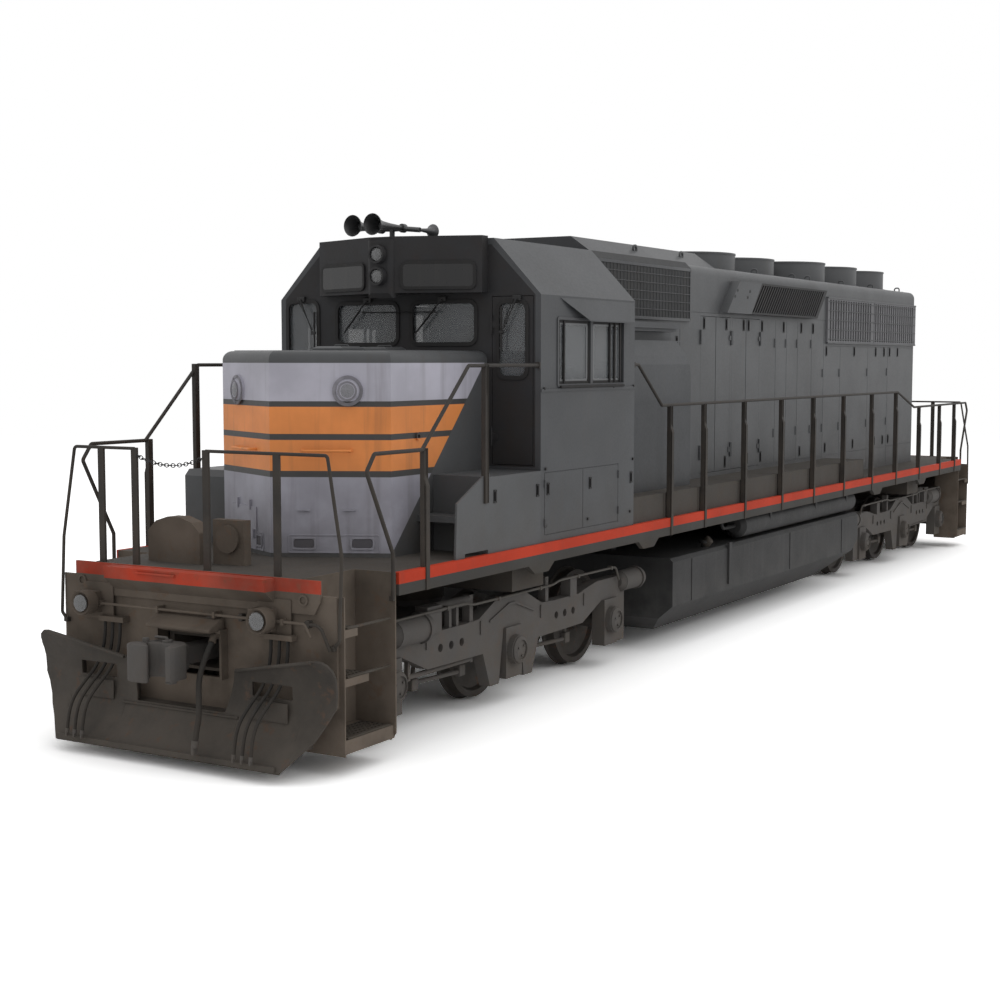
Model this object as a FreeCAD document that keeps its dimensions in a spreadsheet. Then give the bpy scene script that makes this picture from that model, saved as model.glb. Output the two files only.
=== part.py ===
"""Six-axle diesel road switcher: low short hood, cab, long engine hood, two three-axle bogies.

Units are millimetres. +X points to the short-hood end, +Y to the left side, +Z up. The origin lies
on the floor under the middle of the locomotive, level with the bottoms of the wheel flanges.
"""
import FreeCAD, Part
import math
import os
import re
from types import SimpleNamespace

import Sketcher
from FreeCAD import Placement, Rotation, Vector

# ---------------------------------------------------------------- driving sizes
# alias, value, what it is
SIZES = (
    ("FlangeDepth", 25, "wheel flange below the tread"),
    ("TreadRadius", 508, "wheel radius at the tread"),
    ("WheelBack", 680, "inner face of a wheel from the centre line"),
    ("WheelWidth", 140, "width of a wheel rim"),
    ("AxleRadius", 100, "axle between the wheels"),
    ("JournalRadius", 75, "axle journal"),
    ("JournalEnd", 1250, "end of the axle from the centre line"),
    ("RunningGap", 0.3, "radial gap of a journal or pin in its seat"),
    ("BogieX", 6360, "bogie centre from the middle"),
    ("AxlePitch", 2068, "distance between neighbouring axles of a bogie"),
    ("BogieOutside", 1220, "outer face of a bogie side frame"),
    ("BogieSideThick", 120, "thickness of a bogie side frame"),
    ("BogieFront", 2270, "outer end of a bogie frame from its centre"),
    ("BogieRear", 2440, "inner end of a bogie frame from its centre"),
    ("BoxWidth", 300, "axle box width in its pedestal"),
    ("BoxDrop", 268, "bottom of an axle box below the axle"),
    ("ArchRise", 222, "top of a pedestal opening above the axle"),
    ("BoxProud", 90, "axle box outside the side frame"),
    ("PivotRadius", 160, "bogie centre pin"),
    ("PivotRise", 427, "top of the bogie centre bearing above the axles"),
    ("SillTop", 1563, "top of the side sill and of the walkways"),
    ("SillHalf", 1551, "outer face of the side sill"),
    ("SillDepth", 190, "height of the side sill"),
    ("SillThick", 50, "thickness of the side sill"),
    ("DeckThick", 20, "walkway plate"),
    ("StepLength", 746, "length of a step well, from the end of the side sill to the end plate"),
    ("PlateEnd", 9506, "outer face of an end plate"),
    ("PlateThick", 26, "end plate"),
    ("PilotThick", 40, "pilot sheet behind an end plate"),
    ("PlateHalf", 1310, "half width of an end plate"),
    ("PlateStripe", 107, "height of the stripe on an end plate"),
    ("BeamClear", 64, "underframe beams above the wheel flanges"),
    ("BeamHalf", 430, "outer face of a centre sill"),
    ("StepInside", 1120, "inner wall of a step well"),
    ("StepOutside", 1500, "outer edge of the step treads"),
    ("StepBottom", 170, "lower edge of a step well"),
    ("StepPitch", 440, "height between step treads"),
    ("StepFirst", 250, "top of the lowest tread"),
    ("CouplerZ", 880, "height of the coupler's middle"),
    ("PivotSetback", 446, "coupler swing pin behind the end plate"),
    ("SwingPin", 45, "radius of the coupler swing pin"),
    ("CouplerReach", 514, "pulling face of the coupler ahead of the end plate"),
    ("CouplerWindow", 330, "half width of the coupler opening in the pilot"),
    ("PlowReach", 214, "plow blade at its top ahead of the end plate"),
    ("PlowBend", 1130, "where a plow wing bends back"),
    ("PlowSweep", 24, "angle of a plow wing, degrees"),
    ("PlowLean", 14, "forward lean of the plow's foot, degrees"),
    ("PlowTop", 970, "top of the plow wings"),
    ("PlowFoot", 120, "bottom of the plow"),
    ("PlowThick", 24, "plow plate"),
    ("CabFront", 6344, "front of the cab"),
    ("CabRear", 4332, "rear of the cab"),
    ("CabHalf", 1526, "half width of the cab"),
    ("CabFloor", 2280, "cab floor"),
    ("CabShoulder", 3900, "where the cab side meets the slope of the roof"),
    ("CabRoof", 4440, "top of the cab roof"),
    ("CabRoofHalf", 1012, "half width of the flat of the cab roof"),
    ("CabWall", 60, "cab wall"),
    ("DoorInner", 1000, "hinge edge of a cab door from the centre line"),
    ("DoorOuter", 1440, "free edge of a cab door from the centre line"),
    ("DoorFoot", 2300, "bottom of a cab door"),
    ("DoorHead", 3885, "top of a cab door"),
    ("DoorGap", 6, "gap round a door leaf"),
    ("MeetGap", 14, "gap between the two leaves of a pair of doors"),
    ("HingePost", 30, "half width of the post that two pairs of doors share"),
    ("HingeOut", 12, "hinge axis outside the face of a wall"),
    ("HingeRadius", 12, "hinge barrel"),
    ("GlassThick", 12, "window glass"),
    ("NoseHalf", 940, "half width of the short hood"),
    ("NoseTop", 3370, "top of the short hood"),
    ("NoseRound", 85, "rolled top edge of the short hood"),
    ("NoseTip", 8470, "crease at the front of the short hood"),
    ("NoseShoulder", 7970, "where the slanted front faces meet the sides"),
    ("LightEnd", 110, "outer end of the light box ahead of the cab"),
    ("LightTip", 395, "middle of the light box ahead of the cab"),
    ("LightHalf", 950, "half width of the light box"),
    ("BatteryFront", 7850, "front of the steps or box beside the short hood"),
    ("BatteryBack", 7290, "rear of the steps up to the front door"),
    ("BatteryTop", 2250, "top of a battery box"),
    ("HoodHalf", 930, "half width of the long hood"),
    ("HoodRear", 7850, "rear of the long hood behind the middle"),
    ("HatchFront", 3740, "front of the hatch along the roof"),
    ("HatchRear", 360, "rear of that hatch"),
    ("HatchHalf", 750, "half width of the hatch at its foot"),
    ("HatchTop", 4650, "top of the hatch"),
    ("HoodTop", 4440, "top of the long hood"),
    ("HoodWall", 45, "hood side wall and door leaf"),
    ("RoofDrop", 150, "height of the hood roof's rolled edge"),
    ("RoofRadius", 110, "radius of the hood roof's rolled edge"),
    ("HoodDoorFoot", 1890, "bottom of the engine room doors"),
    ("HoodDoorHead", 3830, "top of the engine room doors"),
    ("HoodDoorFront", 1270, "front edge of the first engine room door"),
    ("HoodDoorPitch", 502.5, "width of an engine room door bay"),
    ("SeamWidth", 8, "gap round a fixed panel of the hood"),
    ("SeamDepth", 7, "depth of that gap"),
    ("BlowerFront", 3800, "front of the blower housing"),
    ("BlowerRear", 2250, "rear of the blower housing"),
    ("BlowerHalf", 1250, "outer face of the blower housing"),
    ("BlowerHead", 3560, "top of the blower housing"),
    ("DuctTop", 1840, "top of the left walkway duct"),
    ("DuctHalf", 1490, "outer face of the left walkway duct"),
    ("DuctRear", 3500, "rear end of the duct behind the middle"),
    ("BlisterOut", 120, "depth of the dynamic brake housings outside the hood"),
    ("BlisterFront", 690, "front lower corner of the dynamic brake housings"),
    ("BlisterRear", 2640, "rear lower corner of the same behind the middle"),
    ("SlatPitch", 84, "distance between brake housing slats"),
    ("SlatSlot", 46, "slot between two brake housing slats"),
    ("BlisterFoot", 3880, "bottom of the dynamic brake housings"),
    ("BlisterHead", 4290, "top of the dynamic brake housings"),
    ("RadiatorFront", 3350, "front of the radiator grilles behind the middle"),
    ("RadiatorFoot", 3550, "bottom of the radiator grilles"),
    ("RadiatorHead", 4200, "top of the radiator grilles"),
    ("RadiatorSplit", 5560, "gap between the two grilles of a side behind the middle"),
    ("BarPitch", 118, "distance between radiator grille bars"),
    ("BarSlot", 66, "slot between two radiator grille bars"),
    ("FanRadius", 660, "fan shroud"),
    ("FanTop", 4750, "top of the radiator fan shrouds"),
    ("BrakeFanTop", 4690, "top of the brake fan shrouds"),
    ("FanWall", 20, "fan shroud wall"),
    ("FanGap", 20, "gap between fan blades and shroud"),
    ("TankHalf", 1450, "half width of the fuel tank"),
    ("TankFront", 3150, "front of the fuel tank"),
    ("TankRear", 3400, "rear of the fuel tank behind the middle"),
    ("TankTop", 1070, "top of the fuel tank"),
    ("TankFoot", 200, "bottom of the fuel tank"),
    ("ReservoirRadius", 150, "air reservoir"),
    ("HoseExit", 1070, "height at which the control hoses leave their manifolds"),
    ("BrakeExit", 1006, "height at which the brake hose leaves its pipe"),
    ("HoseRadius", 14, "multiple-unit hose"),
    ("TrainHoseRadius", 24, "brake pipe hose"),
    ("RailRadius", 17, "handrail tube"),
    ("RailY", 1530, "side handrail from the centre line"),
    ("RailZ", 2800, "height of the side handrails"),
    ("EndRailZ", 2545, "height of the rails round the platforms"),
    ("NoseRailZ", 3240, "height of the rails beside the short hood"),
)

# places that follow from the sizes: name, formula
DERIVED = {
    "AxleZ": "(TreadRadius + FlangeDepth)",
    "BeamBottom": "(AxleZ + TreadRadius + FlangeDepth + BeamClear)",
    "PivotTop": "(AxleZ + PivotRise)",
    "SillEnd": "(PlateEnd - StepLength)",
    "PilotFace": "(PlateEnd - PlateThick)",
    "PilotBack": "(PlateEnd - PlateThick - PilotThick)",
    "CouplerPivotX": "(PlateEnd - PivotSetback)",
    "CouplerFace": "(PlateEnd + CouplerReach)",
    "PlowX": "(PlateEnd + PlowReach)",
    "RailX": "(PlateEnd - 56)",
    "AxleBoxBack": "(BogieOutside - BogieSideThick)",
    "ArchTop": "(AxleZ + ArchRise)",
    "BoxFoot": "(AxleZ - BoxDrop)",
    "BlisterHalf": "(HoodHalf + BlisterOut)",
}

DOC = FreeCAD.newDocument("Locomotive")
SHEET = DOC.addObject("Spreadsheet::Sheet", "Sizes")
for row, (alias, value, meaning) in enumerate(SIZES, 1):
    SHEET.set(f"A{row}", alias)
    SHEET.set(f"B{row}", str(value))
    SHEET.setAlias(f"B{row}", alias)
    SHEET.set(f"C{row}", meaning)
DOC.recompute()
ALIASES = {alias for alias, _, _ in SIZES}
S = SimpleNamespace(**{alias: float(SHEET.get(alias)) for alias in ALIASES})
NODES = {}


# ---------------------------------------------------------------- document helpers
def formula(text):
    """Return an expression in which each alias is read from the sheet and each derived place written out."""
    text = str(text)
    while any(re.search(rf"\b{name}\b", text) for name in DERIVED):
        text = re.sub(r"[A-Z]\w+", lambda m: DERIVED.get(m[0], m[0]), text)
    return re.sub(r"[A-Z]\w+", lambda m: "Sizes." + m[0] if m[0] in ALIASES else m[0], text)


def number(text):
    """Return the value of an expression of sizes, for shapes that are set in code."""
    plain = formula(text).replace("Sizes.", "")
    for alias in sorted(ALIASES, key=len, reverse=True):
        plain = plain.replace(alias, repr(getattr(S, alias)))
    return float(FreeCAD.Units.Quantity(plain).Value)


def bind(thing, **sizes):
    """Bind properties of an object to expressions; a double underscore stands for a dot."""
    for prop, text in sizes.items():
        thing.setExpression(prop.replace("__", "."), formula(text))
    return thing


def block(name, x, y, z):
    """Make a box between two expressions along each axis."""
    box = DOC.addObject("Part::Box", name)
    bind(box, Length=f"({x[1]}) - ({x[0]})", Width=f"({y[1]}) - ({y[0]})",
         Height=f"({z[1]}) - ({z[0]})", Placement__Base__x=x[0], Placement__Base__y=y[0],
         Placement__Base__z=z[0])
    return box


TURNS = {"x": Rotation(Vector(0, 1, 0), 90), "y": Rotation(Vector(1, 0, 0), -90), "z": Rotation()}


def drum(name, axis, start, radius, length):
    """Make a cylinder along an axis from a start point."""
    rod = DOC.addObject("Part::Cylinder", name)
    rod.Placement = Placement(Vector(), TURNS[axis])
    bind(rod, Radius=radius, Height=length, Placement__Base__x=start[0],
         Placement__Base__y=start[1], Placement__Base__z=start[2])
    return rod


def bell(name, axis, start, foot, mouth, length):
    """Make a cone along an axis from a start point."""
    cone = DOC.addObject("Part::Cone", name)
    cone.Placement = Placement(Vector(), TURNS[axis])
    bind(cone, Radius1=foot, Radius2=mouth, Height=length, Placement__Base__x=start[0],
         Placement__Base__y=start[1], Placement__Base__z=start[2])
    return cone


def sketch_on(body, plane, outline):
    """Add a closed outline of straight edges, its corners bound to (u, v) expressions."""
    sketch = body.newObject("Sketcher::SketchObject", body.Name + "_outline")
    sketch.AttachmentSupport = [(next(f for f in body.Origin.OriginFeatures if f.Role == plane), "")]
    sketch.MapMode = "FlatFace"
    count = len(outline)
    rough = [Vector(100 * math.cos(2 * math.pi * i / count), 100 * math.sin(2 * math.pi * i / count), 0)
             for i in range(count)]
    for i in range(count):
        sketch.addGeometry(Part.LineSegment(rough[i], rough[(i + 1) % count]), False)
    for i in range(count):
        sketch.addConstraint(Sketcher.Constraint("Coincident", i, 2, (i + 1) % count, 1))
    for i, (u, v) in enumerate(outline):
        for kind, text in (("DistanceX", u), ("DistanceY", v)):
            index = sketch.addConstraint(Sketcher.Constraint(kind, -1, 1, i, 1, 1.0))
            sketch.setExpression(f"Constraints[{index}]", formula(text))
    return sketch


def slab(name, plane, outline, low, high):
    """Pad an outline lying in the XY, XZ or YZ plane between two heights above that plane."""
    body = DOC.addObject("PartDesign::Body", name)
    sketch = sketch_on(body, plane + "_Plane", outline)
    bind(sketch, AttachmentOffset__Base__z=f"-({high})" if plane == "XZ" else low)
    pad = body.newObject("PartDesign::Pad", name + "_pad")
    pad.Profile = sketch
    bind(pad, Length=f"({high}) - ({low})")
    return body


def turned(name, outline):
    """Revolve an outline of (radius, along Y) corners about the Y axis."""
    body = DOC.addObject("PartDesign::Body", name)
    sketch = sketch_on(body, "XY_Plane", outline)
    spin = body.newObject("PartDesign::Revolution", name + "_spin")
    spin.Profile = sketch
    spin.ReferenceAxis = (sketch, ["V_Axis"])
    spin.Angle = 360
    return body


def fuse(name, *parts):
    """Join overlapping solids into one."""
    joined = DOC.addObject("Part::MultiFuse", name)
    joined.Shapes = list(parts)
    joined.Refine = True
    return joined


def cut(name, base, *tools):
    """Take the tools away from the base."""
    result = DOC.addObject("Part::Cut", name)
    result.Base = base
    result.Tool = tools[0] if len(tools) == 1 else fuse(name + "_tools", *tools)
    return result


def together(name, *parts):
    """Hold solids that don't touch in one node."""
    group = DOC.addObject("Part::Compound", name)
    group.Links = list(parts)
    return group


def flipped(part, normal=(0, 1, 0)):
    """Mirror a solid through the origin across a plane with the given normal."""
    mirror = DOC.addObject("Part::Mirroring", part.Name + "_m")
    mirror.Source = part
    mirror.Normal = Vector(*normal)
    return mirror


def rounded(body, radius, pick):
    """Round the edges of a body for which pick(middle, direction) holds."""
    DOC.recompute()
    tip = body.Tip
    names = []
    for number, edge in enumerate(tip.Shape.Edges, 1):
        ends = [v.Point for v in edge.Vertexes]
        if len(ends) == 2:
            way = (ends[1] - ends[0]).normalize()
            if pick((ends[0] + ends[1]) / 2, way):
                names.append(f"Edge{number}")
    fillet = body.newObject("PartDesign::Fillet", body.Name + "_round")
    fillet.Base = (tip, names)
    bind(fillet, Radius=radius)
    return body


def moved(part, x=0, y=0, z=0, turn=None):
    """Place a body or feature by bound offsets, after an optional fixed turn."""
    if turn:
        part.Placement = Placement(Vector(), turn)
    bind(part, Placement__Base__x=x, Placement__Base__y=y, Placement__Base__z=z)
    return part


def route(points, bend):
    """Return a wire of straight runs with tangent arcs of radius bend at the corners."""
    edges = []
    last = points[0]
    for before, corner, after in zip(points, points[1:], points[2:]):
        into = (corner - before).normalize()
        out = (after - corner).normalize()
        turn = into.getAngle(out)
        back = bend * math.tan(turn / 2)
        start, end = corner - into * back, corner + out * back
        middle = corner + (out - into).normalize() * (bend / math.cos(turn / 2) - bend)
        edges += [Part.LineSegment(last, start).toShape(), Part.Arc(start, middle, end).toShape()]
        last = end
    edges.append(Part.LineSegment(last, points[-1]).toShape())
    return Part.Wire(edges)


def tube(name, points, radius, bend=60):
    """Sweep a round bar along a route whose points are expressions."""
    corners = [Vector(*(number(c) for c in point)) for point in points]
    path = route(corners, bend)
    ring = Part.Circle(corners[0], corners[1] - corners[0], radius)
    bar = DOC.addObject("Part::Feature", name)
    bar.Shape = path.makePipeShell([Part.Wire(ring.toShape())], True, False)
    return bar


def ring(name, axis, start, outer, inner, length):
    """Make a round collar along an axis from a start point."""
    return cut(name, drum(name + "_outer", axis, start, outer, length),
               drum(name + "_bore", axis, start, inner, length))


def node(name, part):
    """Name a finished sub-part."""
    part.Label = name
    NODES[name] = part
    return part


def hinges(name, face, along, way, plane, out, heights):
    """Make barrel hinges whose axis stands HingeOut outside a wall face.

    The face lies across axis x or y at the expression plane and looks towards out (+1 or -1); the door leaf
    lies from the axis towards way (+1 or -1), and the wall on the other side. Returns the barrels with
    straps for the door and for the wall, as two lists.
    """
    axis = f"{plane} + {out} * HingeOut"
    moving, fixed = [], []
    for height in heights:
        for step, toward, home in ((-1, -way, fixed), (0, way, moving), (1, -way, fixed)):
            low = f"{height} + {step} * 60"
            if step:
                low = f"{low} + {step} * RunningGap"
            low, high = f"{low} - 30", f"{low} + 30"
            reach = 60 if home is moving else 14
            strap = tuple(f"{along} + {offset}" for offset in sorted((0, toward * reach)))
            depth = tuple(f"{plane} + {offset}" for offset in
                          (("0", f"{out} * HingeOut") if out > 0 else (f"{out} * HingeOut", "0")))
            start = (axis, along, low) if face == "x" else (along, axis, low)
            home.append(drum(name + "_barrel", "z", start, "HingeRadius", f"({high}) - ({low})"))
            spans = (depth, strap) if face == "x" else (strap, depth)
            home.append(block(name + "_strap", *spans, (low, high)))
    return moving, fixed


# ---------------------------------------------------------------- underframe
def underframe():
    """Deck, twin centre sills, bolsters with centre pins, cross bearers and draft pockets."""
    deck = block("deck", ("-SillEnd", "SillEnd"), ("SillThick - SillHalf", "SillHalf - SillThick"),
                 ("SillTop - DeckThick", "SillTop"))
    platform = block("platform", ("PlateThick - PlateEnd", "PlateEnd - PlateThick"),
                     ("14 - StepInside", "StepInside - 14"), ("SillTop - DeckThick", "SillTop"))
    parts = [deck, platform]
    for side in (-1, 1):
        web = ("BeamHalf - 40", "BeamHalf") if side > 0 else ("-BeamHalf", "40 - BeamHalf")
        foot = ("BeamHalf - 140", "BeamHalf + 60") if side > 0 else ("-BeamHalf - 60", "140 - BeamHalf")
        ends = ("-PilotBack", "PilotBack")
        parts.append(block("beam_web", ends, web, ("BeamBottom", "SillTop - DeckThick / 2")))
        parts.append(block("beam_foot", ends, foot, ("BeamBottom", "BeamBottom + 40")))
    for end in (-1, 1):
        middle = f"{end} * BogieX"
        parts.append(block("bolster", (f"{middle} - 300", f"{middle} + 300"), ("-1400", "1400"),
                           ("BeamBottom", "SillTop - DeckThick / 2")))
        parts.append(drum("bearing", "z", (middle, "0", "PivotTop + RunningGap"), "PivotRadius * 2.4",
                          "BeamBottom - PivotTop + 20"))
        parts.append(drum("pin", "z", (middle, "0", "PivotTop - 220"), "PivotRadius", "BeamBottom - PivotTop + 240"))
        pocket = ("PilotBack - 940", "PilotBack") if end > 0 else ("-PilotBack", "940 - PilotBack")
        room = ("PilotBack - 920", "PlateEnd") if end > 0 else ("-PlateEnd", "920 - PilotBack")
        parts.append(cut("draft_pocket",
                         block("pocket_box", pocket, ("-310", "310"), ("CouplerZ - 150", "BeamBottom + 20")),
                         block("pocket_room", room, ("-260", "260"), ("CouplerZ - 125", "CouplerZ + 125"))))
        parts.append(drum("swing_pin", "z", (f"{end} * CouplerPivotX", "0", "CouplerZ - 140"),
                          "SwingPin", "280"))
    for place in (-3700, -2200, -700, 800, 2300, 3700):
        parts.append(slab("bearer", "YZ",
                          (("-1500", "SillTop - 110"), ("-1100", "SillTop - 110"), ("-BeamHalf", "BeamBottom"),
                           ("BeamHalf", "BeamBottom"), ("1100", "SillTop - 110"), ("1500", "SillTop - 110"),
                           ("1500", "SillTop - 10"), ("-1500", "SillTop - 10")), place - 15, place + 15))
    node("underframe", fuse("underframe", *parts))
    sill = block("sill", ("-SillEnd", "SillEnd"), ("SillHalf - SillThick", "SillHalf"),
                 ("SillTop - SillDepth", "SillTop"))
    pads = [slab("jack_pad", "XZ", ((f"{x} - 250", "SillTop - SillDepth"), (f"{x} - 130", "1290"),
                                    (f"{x} + 130", "1290"), (f"{x} + 250", "SillTop - SillDepth"),
                                    (f"{x} + 250", "SillTop - SillDepth + 10"),
                                    (f"{x} - 250", "SillTop - SillDepth + 10")),
                 "SillHalf - SillThick", "SillHalf")
            for x in ("BogieX", "-BogieX", "4000", "-4000")]
    left = fuse("left_sill", sill, *pads)
    node("side_sills", together("side_sills", left, flipped(left)))


# step treads: height, depth back from the pilot
TREADS = ((300, 676), (790, 330), (1180, 180))


def pilot(end, name):
    """End plate, pilot sheet, drop step, striker, lamps, uncoupling rod and two step wells of one end."""
    def span(a, b):
        return (a, b) if end > 0 else (f"-({b})", f"-({a})")

    def out(place):
        return place if end > 0 else f"-({place})"

    plate = slab("end_plate", "YZ",
                 (("-PlateHalf", "SillTop - PlateStripe - 60"), ("-PlateHalf + 60", "1290"),
                  ("PlateHalf - 60", "1290"), ("PlateHalf", "SillTop - PlateStripe - 60"),
                  ("PlateHalf", "SillTop"), ("-PlateHalf", "SillTop")), *span("PilotFace", "PlateEnd"))
    sheet = slab("pilot_sheet", "YZ",
                 ((-1200, 330), (1200, 330), (1450, 560), (1450, 1440), (-1450, 1440), (-1450, 560)),
                 *span("PilotBack", "PilotFace"))
    window = block("coupler_window", span("PilotBack - 140", "PlateEnd + 90"),
                   ("-CouplerWindow", "CouplerWindow"), ("CouplerZ - 190", "CouplerZ + 190"))
    shelf = slab("drop_step", "XZ",
                 tuple((out(u), v) for u, v in
                       (("PlateEnd", "1350"), ("PlateEnd + 125", "SillTop - PlateStripe"),
                        ("PlateEnd + 140", "SillTop - 6"), ("PlateEnd", "SillTop - 6"))), "-860", "860")
    bar_x = out("PlateEnd + 152")
    bar = tube("drop_step_bar", ((bar_x, -480, "SillTop - 38"), (bar_x, -60, "SillTop - 38")), 9)
    lugs = [block("bar_lug", span("PlateEnd + 130", "PlateEnd + 154"), (y - 9, y + 9),
                  ("SillTop - 48", "SillTop - 28")) for y in (-470, -70)]
    striker = slab("striker", "XY",
                   tuple((out(u), v) for u, v in
                         (("PilotFace - 5", "-350"), ("PlateEnd + 70", "-350"), ("PlateEnd + 130", "-200"),
                          ("PlateEnd + 130", "200"), ("PlateEnd + 70", "350"), ("PilotFace - 5", "350"))),
                   "CouplerZ + 190", "CouplerZ + 222")
    cheeks = [block("cheek", span("PilotFace - 5", "PlateEnd + 60"), y, ("CouplerZ - 190", "CouplerZ + 195"))
              for y in (("CouplerWindow", "CouplerWindow + 22"), ("-CouplerWindow - 22", "-CouplerWindow"))]
    parts = [cut("pilot_wall", sheet, window), plate, shelf, bar, *lugs, striker, *cheeks]
    rod_x = out("PlateEnd + 55")
    parts.append(tube("lever_rod", ((rod_x, -1260, 1120), (rod_x, -1200, 1222), (rod_x, 1200, 1222),
                                    (rod_x, 1260, 1120)), 12, 40))
    parts += [block("lever_lug", span("PilotFace", "PlateEnd + 72"), (y - 12, y + 12), (1196, 1246))
              for y in (-980, -330, 280, 980)]
    parts += [ring("plug_socket", "x", (out("PlateEnd - 2") if end > 0 else "-PlateEnd - 14", y, 1400), 46, 30, 16)
              for y in (-1230, 1150)]
    if end > 0:
        for y in (-1100, 800):
            parts.append(block("lamp_box", ("PlateEnd - 2", "PlateEnd + 150"), (y - 95, y + 95), (1140, 1320)))
            parts.append(bell("lamp_rim", "x", ("PlateEnd + 148", y, 1235), 66, 72, 46))
        parts += [block("hose_manifold", ("PilotFace", "PlateEnd + 60"), (y - 140, y + 140),
                        ("HoseExit + 1", "HoseExit + 45")) for y in HOSE_CLUSTERS]
        parts.append(tube("brake_pipe", (("PilotFace - 10", 300, 1055), ("PlateEnd + 84", 300, 1055),
                                         ("PlateEnd + 124", 309, "BrakeExit")), 30, 34))
    for side in (-1, 1):
        def wide(a, b, side=side):
            return (a, b) if side > 0 else (f"-({b})", f"-({a})")
        parts.append(slab("step_back", "YZ",
                          tuple((f"{side} * ({u})", v) for u, v in
                                (("StepInside - 14", "StepBottom"), ("StepOutside - 30", "StepBottom"),
                                 ("StepOutside + 20", "StepBottom + 60"), ("StepOutside + 20", "SillTop"),
                                 ("StepInside - 14", "SillTop"))), *span("SillEnd", "SillEnd + 14")))
        parts.append(block("step_wall", span("SillEnd", "PilotBack + 10"), wide("StepInside - 14", "StepInside"),
                           ("StepBottom", "SillTop")))
        for top, depth in TREADS:
            parts.append(block("tread", span(f"PilotBack + 12 - {depth}", "PilotBack + 12"),
                               wide("StepInside - 5", "StepOutside"), (top - 22, top)))
            parts.append(block("tread_lip", span(f"PilotBack + 12 - {depth}", "PilotBack + 12"),
                               wide("StepOutside - 8", "StepOutside"), (top - 62, top)))
        parts.append(block("tread_toe", span("SillEnd", "PilotBack"), wide("StepOutside - 8", "StepOutside"),
                           ("StepBottom + 20", "240")))
        parts.append(block("step_front", span("PilotBack - 2", "PilotBack + 12"),
                           wide("StepInside - 14", "StepOutside"), ("StepBottom", "1440")))
    whole = fuse(name, *parts)
    return together(name + "_gear", whole, *platform_gear()) if end > 0 else whole


def platform_gear():
    """Arched cover box and the box with a round cover that stand on the front platform."""
    arch = slab("arched_box", "YZ",
                ((-755, "SillTop"), (-180, "SillTop"), (-180, "SillTop + 267"), (-270, "SillTop + 352"),
                 (-400, "SillTop + 392"), (-535, "SillTop + 392"), (-665, "SillTop + 352"),
                 (-755, "SillTop + 267")), 9060, 9200)
    cover = fuse("covered_box", block("cover_box", (8990, 9080), (-134, 203), ("SillTop", "SillTop + 380")),
                 drum("round_cover", "x", (9078, 34, "SillTop + 220"), 120, 30))
    return arch, cover


def snow_plow():
    """Leaning plow with swept wings, a coupler notch and two hose windows, on four arms."""
    top, foot = "PlowTop / cos(PlowLean)", "PlowFoot / cos(PlowLean)"
    middle = slab("blade", "YZ",
                  (("-PlowBend", foot), ("PlowBend", foot), ("PlowBend", top), (740, f"{top} - 95"),
                   (650, f"{top} - 160"), (600, 440), (-600, 440), (-650, f"{top} - 160"),
                   (-740, f"{top} - 95"), ("-PlowBend", top)), "-PlowThick", "0")
    hose_windows = [block("hose_window", ("-200", "200"), y, ("500", "745"))
                    for y in ((680, 1090), (-1090, -680))]
    plates = [cut("plow_plate", middle, *hose_windows)]
    for side in (-1, 1):
        wing = slab("wing", "YZ",
                    tuple((f"{side} * ({u})", v) for u, v in
                          ((-8, foot), (250, foot), (330, f"{foot} + 150"), (370, f"{foot} + 170"),
                           (330, f"{foot} + 260"), (440, f"{top} - 190"), (470, f"{top} - 20"),
                           (380, top), (-8, top))), "-PlowThick", "0")
        wing.Placement = Placement(Vector(), Rotation(Vector(0, 0, 1), side * S.PlowSweep))
        bind(wing, Placement__Base__y=f"{side} * PlowBend")
        plates.append(wing)
    blade = fuse("leaning_blade", *plates)
    blade.Placement = Placement(Vector(), Rotation(Vector(0, 1, 0), -S.PlowLean))
    bind(blade, Placement__Base__x="PlowX + PlowTop * tan(PlowLean)", Placement__Base__z="0")
    arms = [block("plow_arm", ("PilotFace", "PlowX + 250"), y, (340, 400)) for y in
            ((1060, 1110), (-1110, -1060), (500, 560), (-560, -500))]
    behind = slab("behind_blade", "XZ",
                  (("PilotBack", "PlowFoot - 100"),
                   ("PlowX + (PlowTop - PlowFoot + 100) * tan(PlowLean) - 12", "PlowFoot - 100"),
                   ("PlowX - 12", "PlowTop"), ("PilotBack", "PlowTop")), "-1600", "1600")
    trimmed = DOC.addObject("Part::MultiCommon", "plow_arms")
    trimmed.Shapes = [together("arms", *arms), behind]
    node("snow_plow", fuse("snow_plow", blade, trimmed))


# middle of each cluster of control hoses across
HOSE_CLUSTERS = (-860, 930)

# hoses that hang at the front: name, radius, then route points as (ahead of the end plate, across, height)
MU_ROUTE = ((34, 0, 0), (40, 4, -180), (130, -4, -365), (280, -20, -490), (395, -38, -610), (438, -50, -755),
            (446, -54, -855))
BRAKE_ROUTE = ((128, 310, 0), (212, 330, -125), (300, 352, -330), (392, 378, -560), (446, 392, -745),
               (458, 398, -850))


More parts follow.
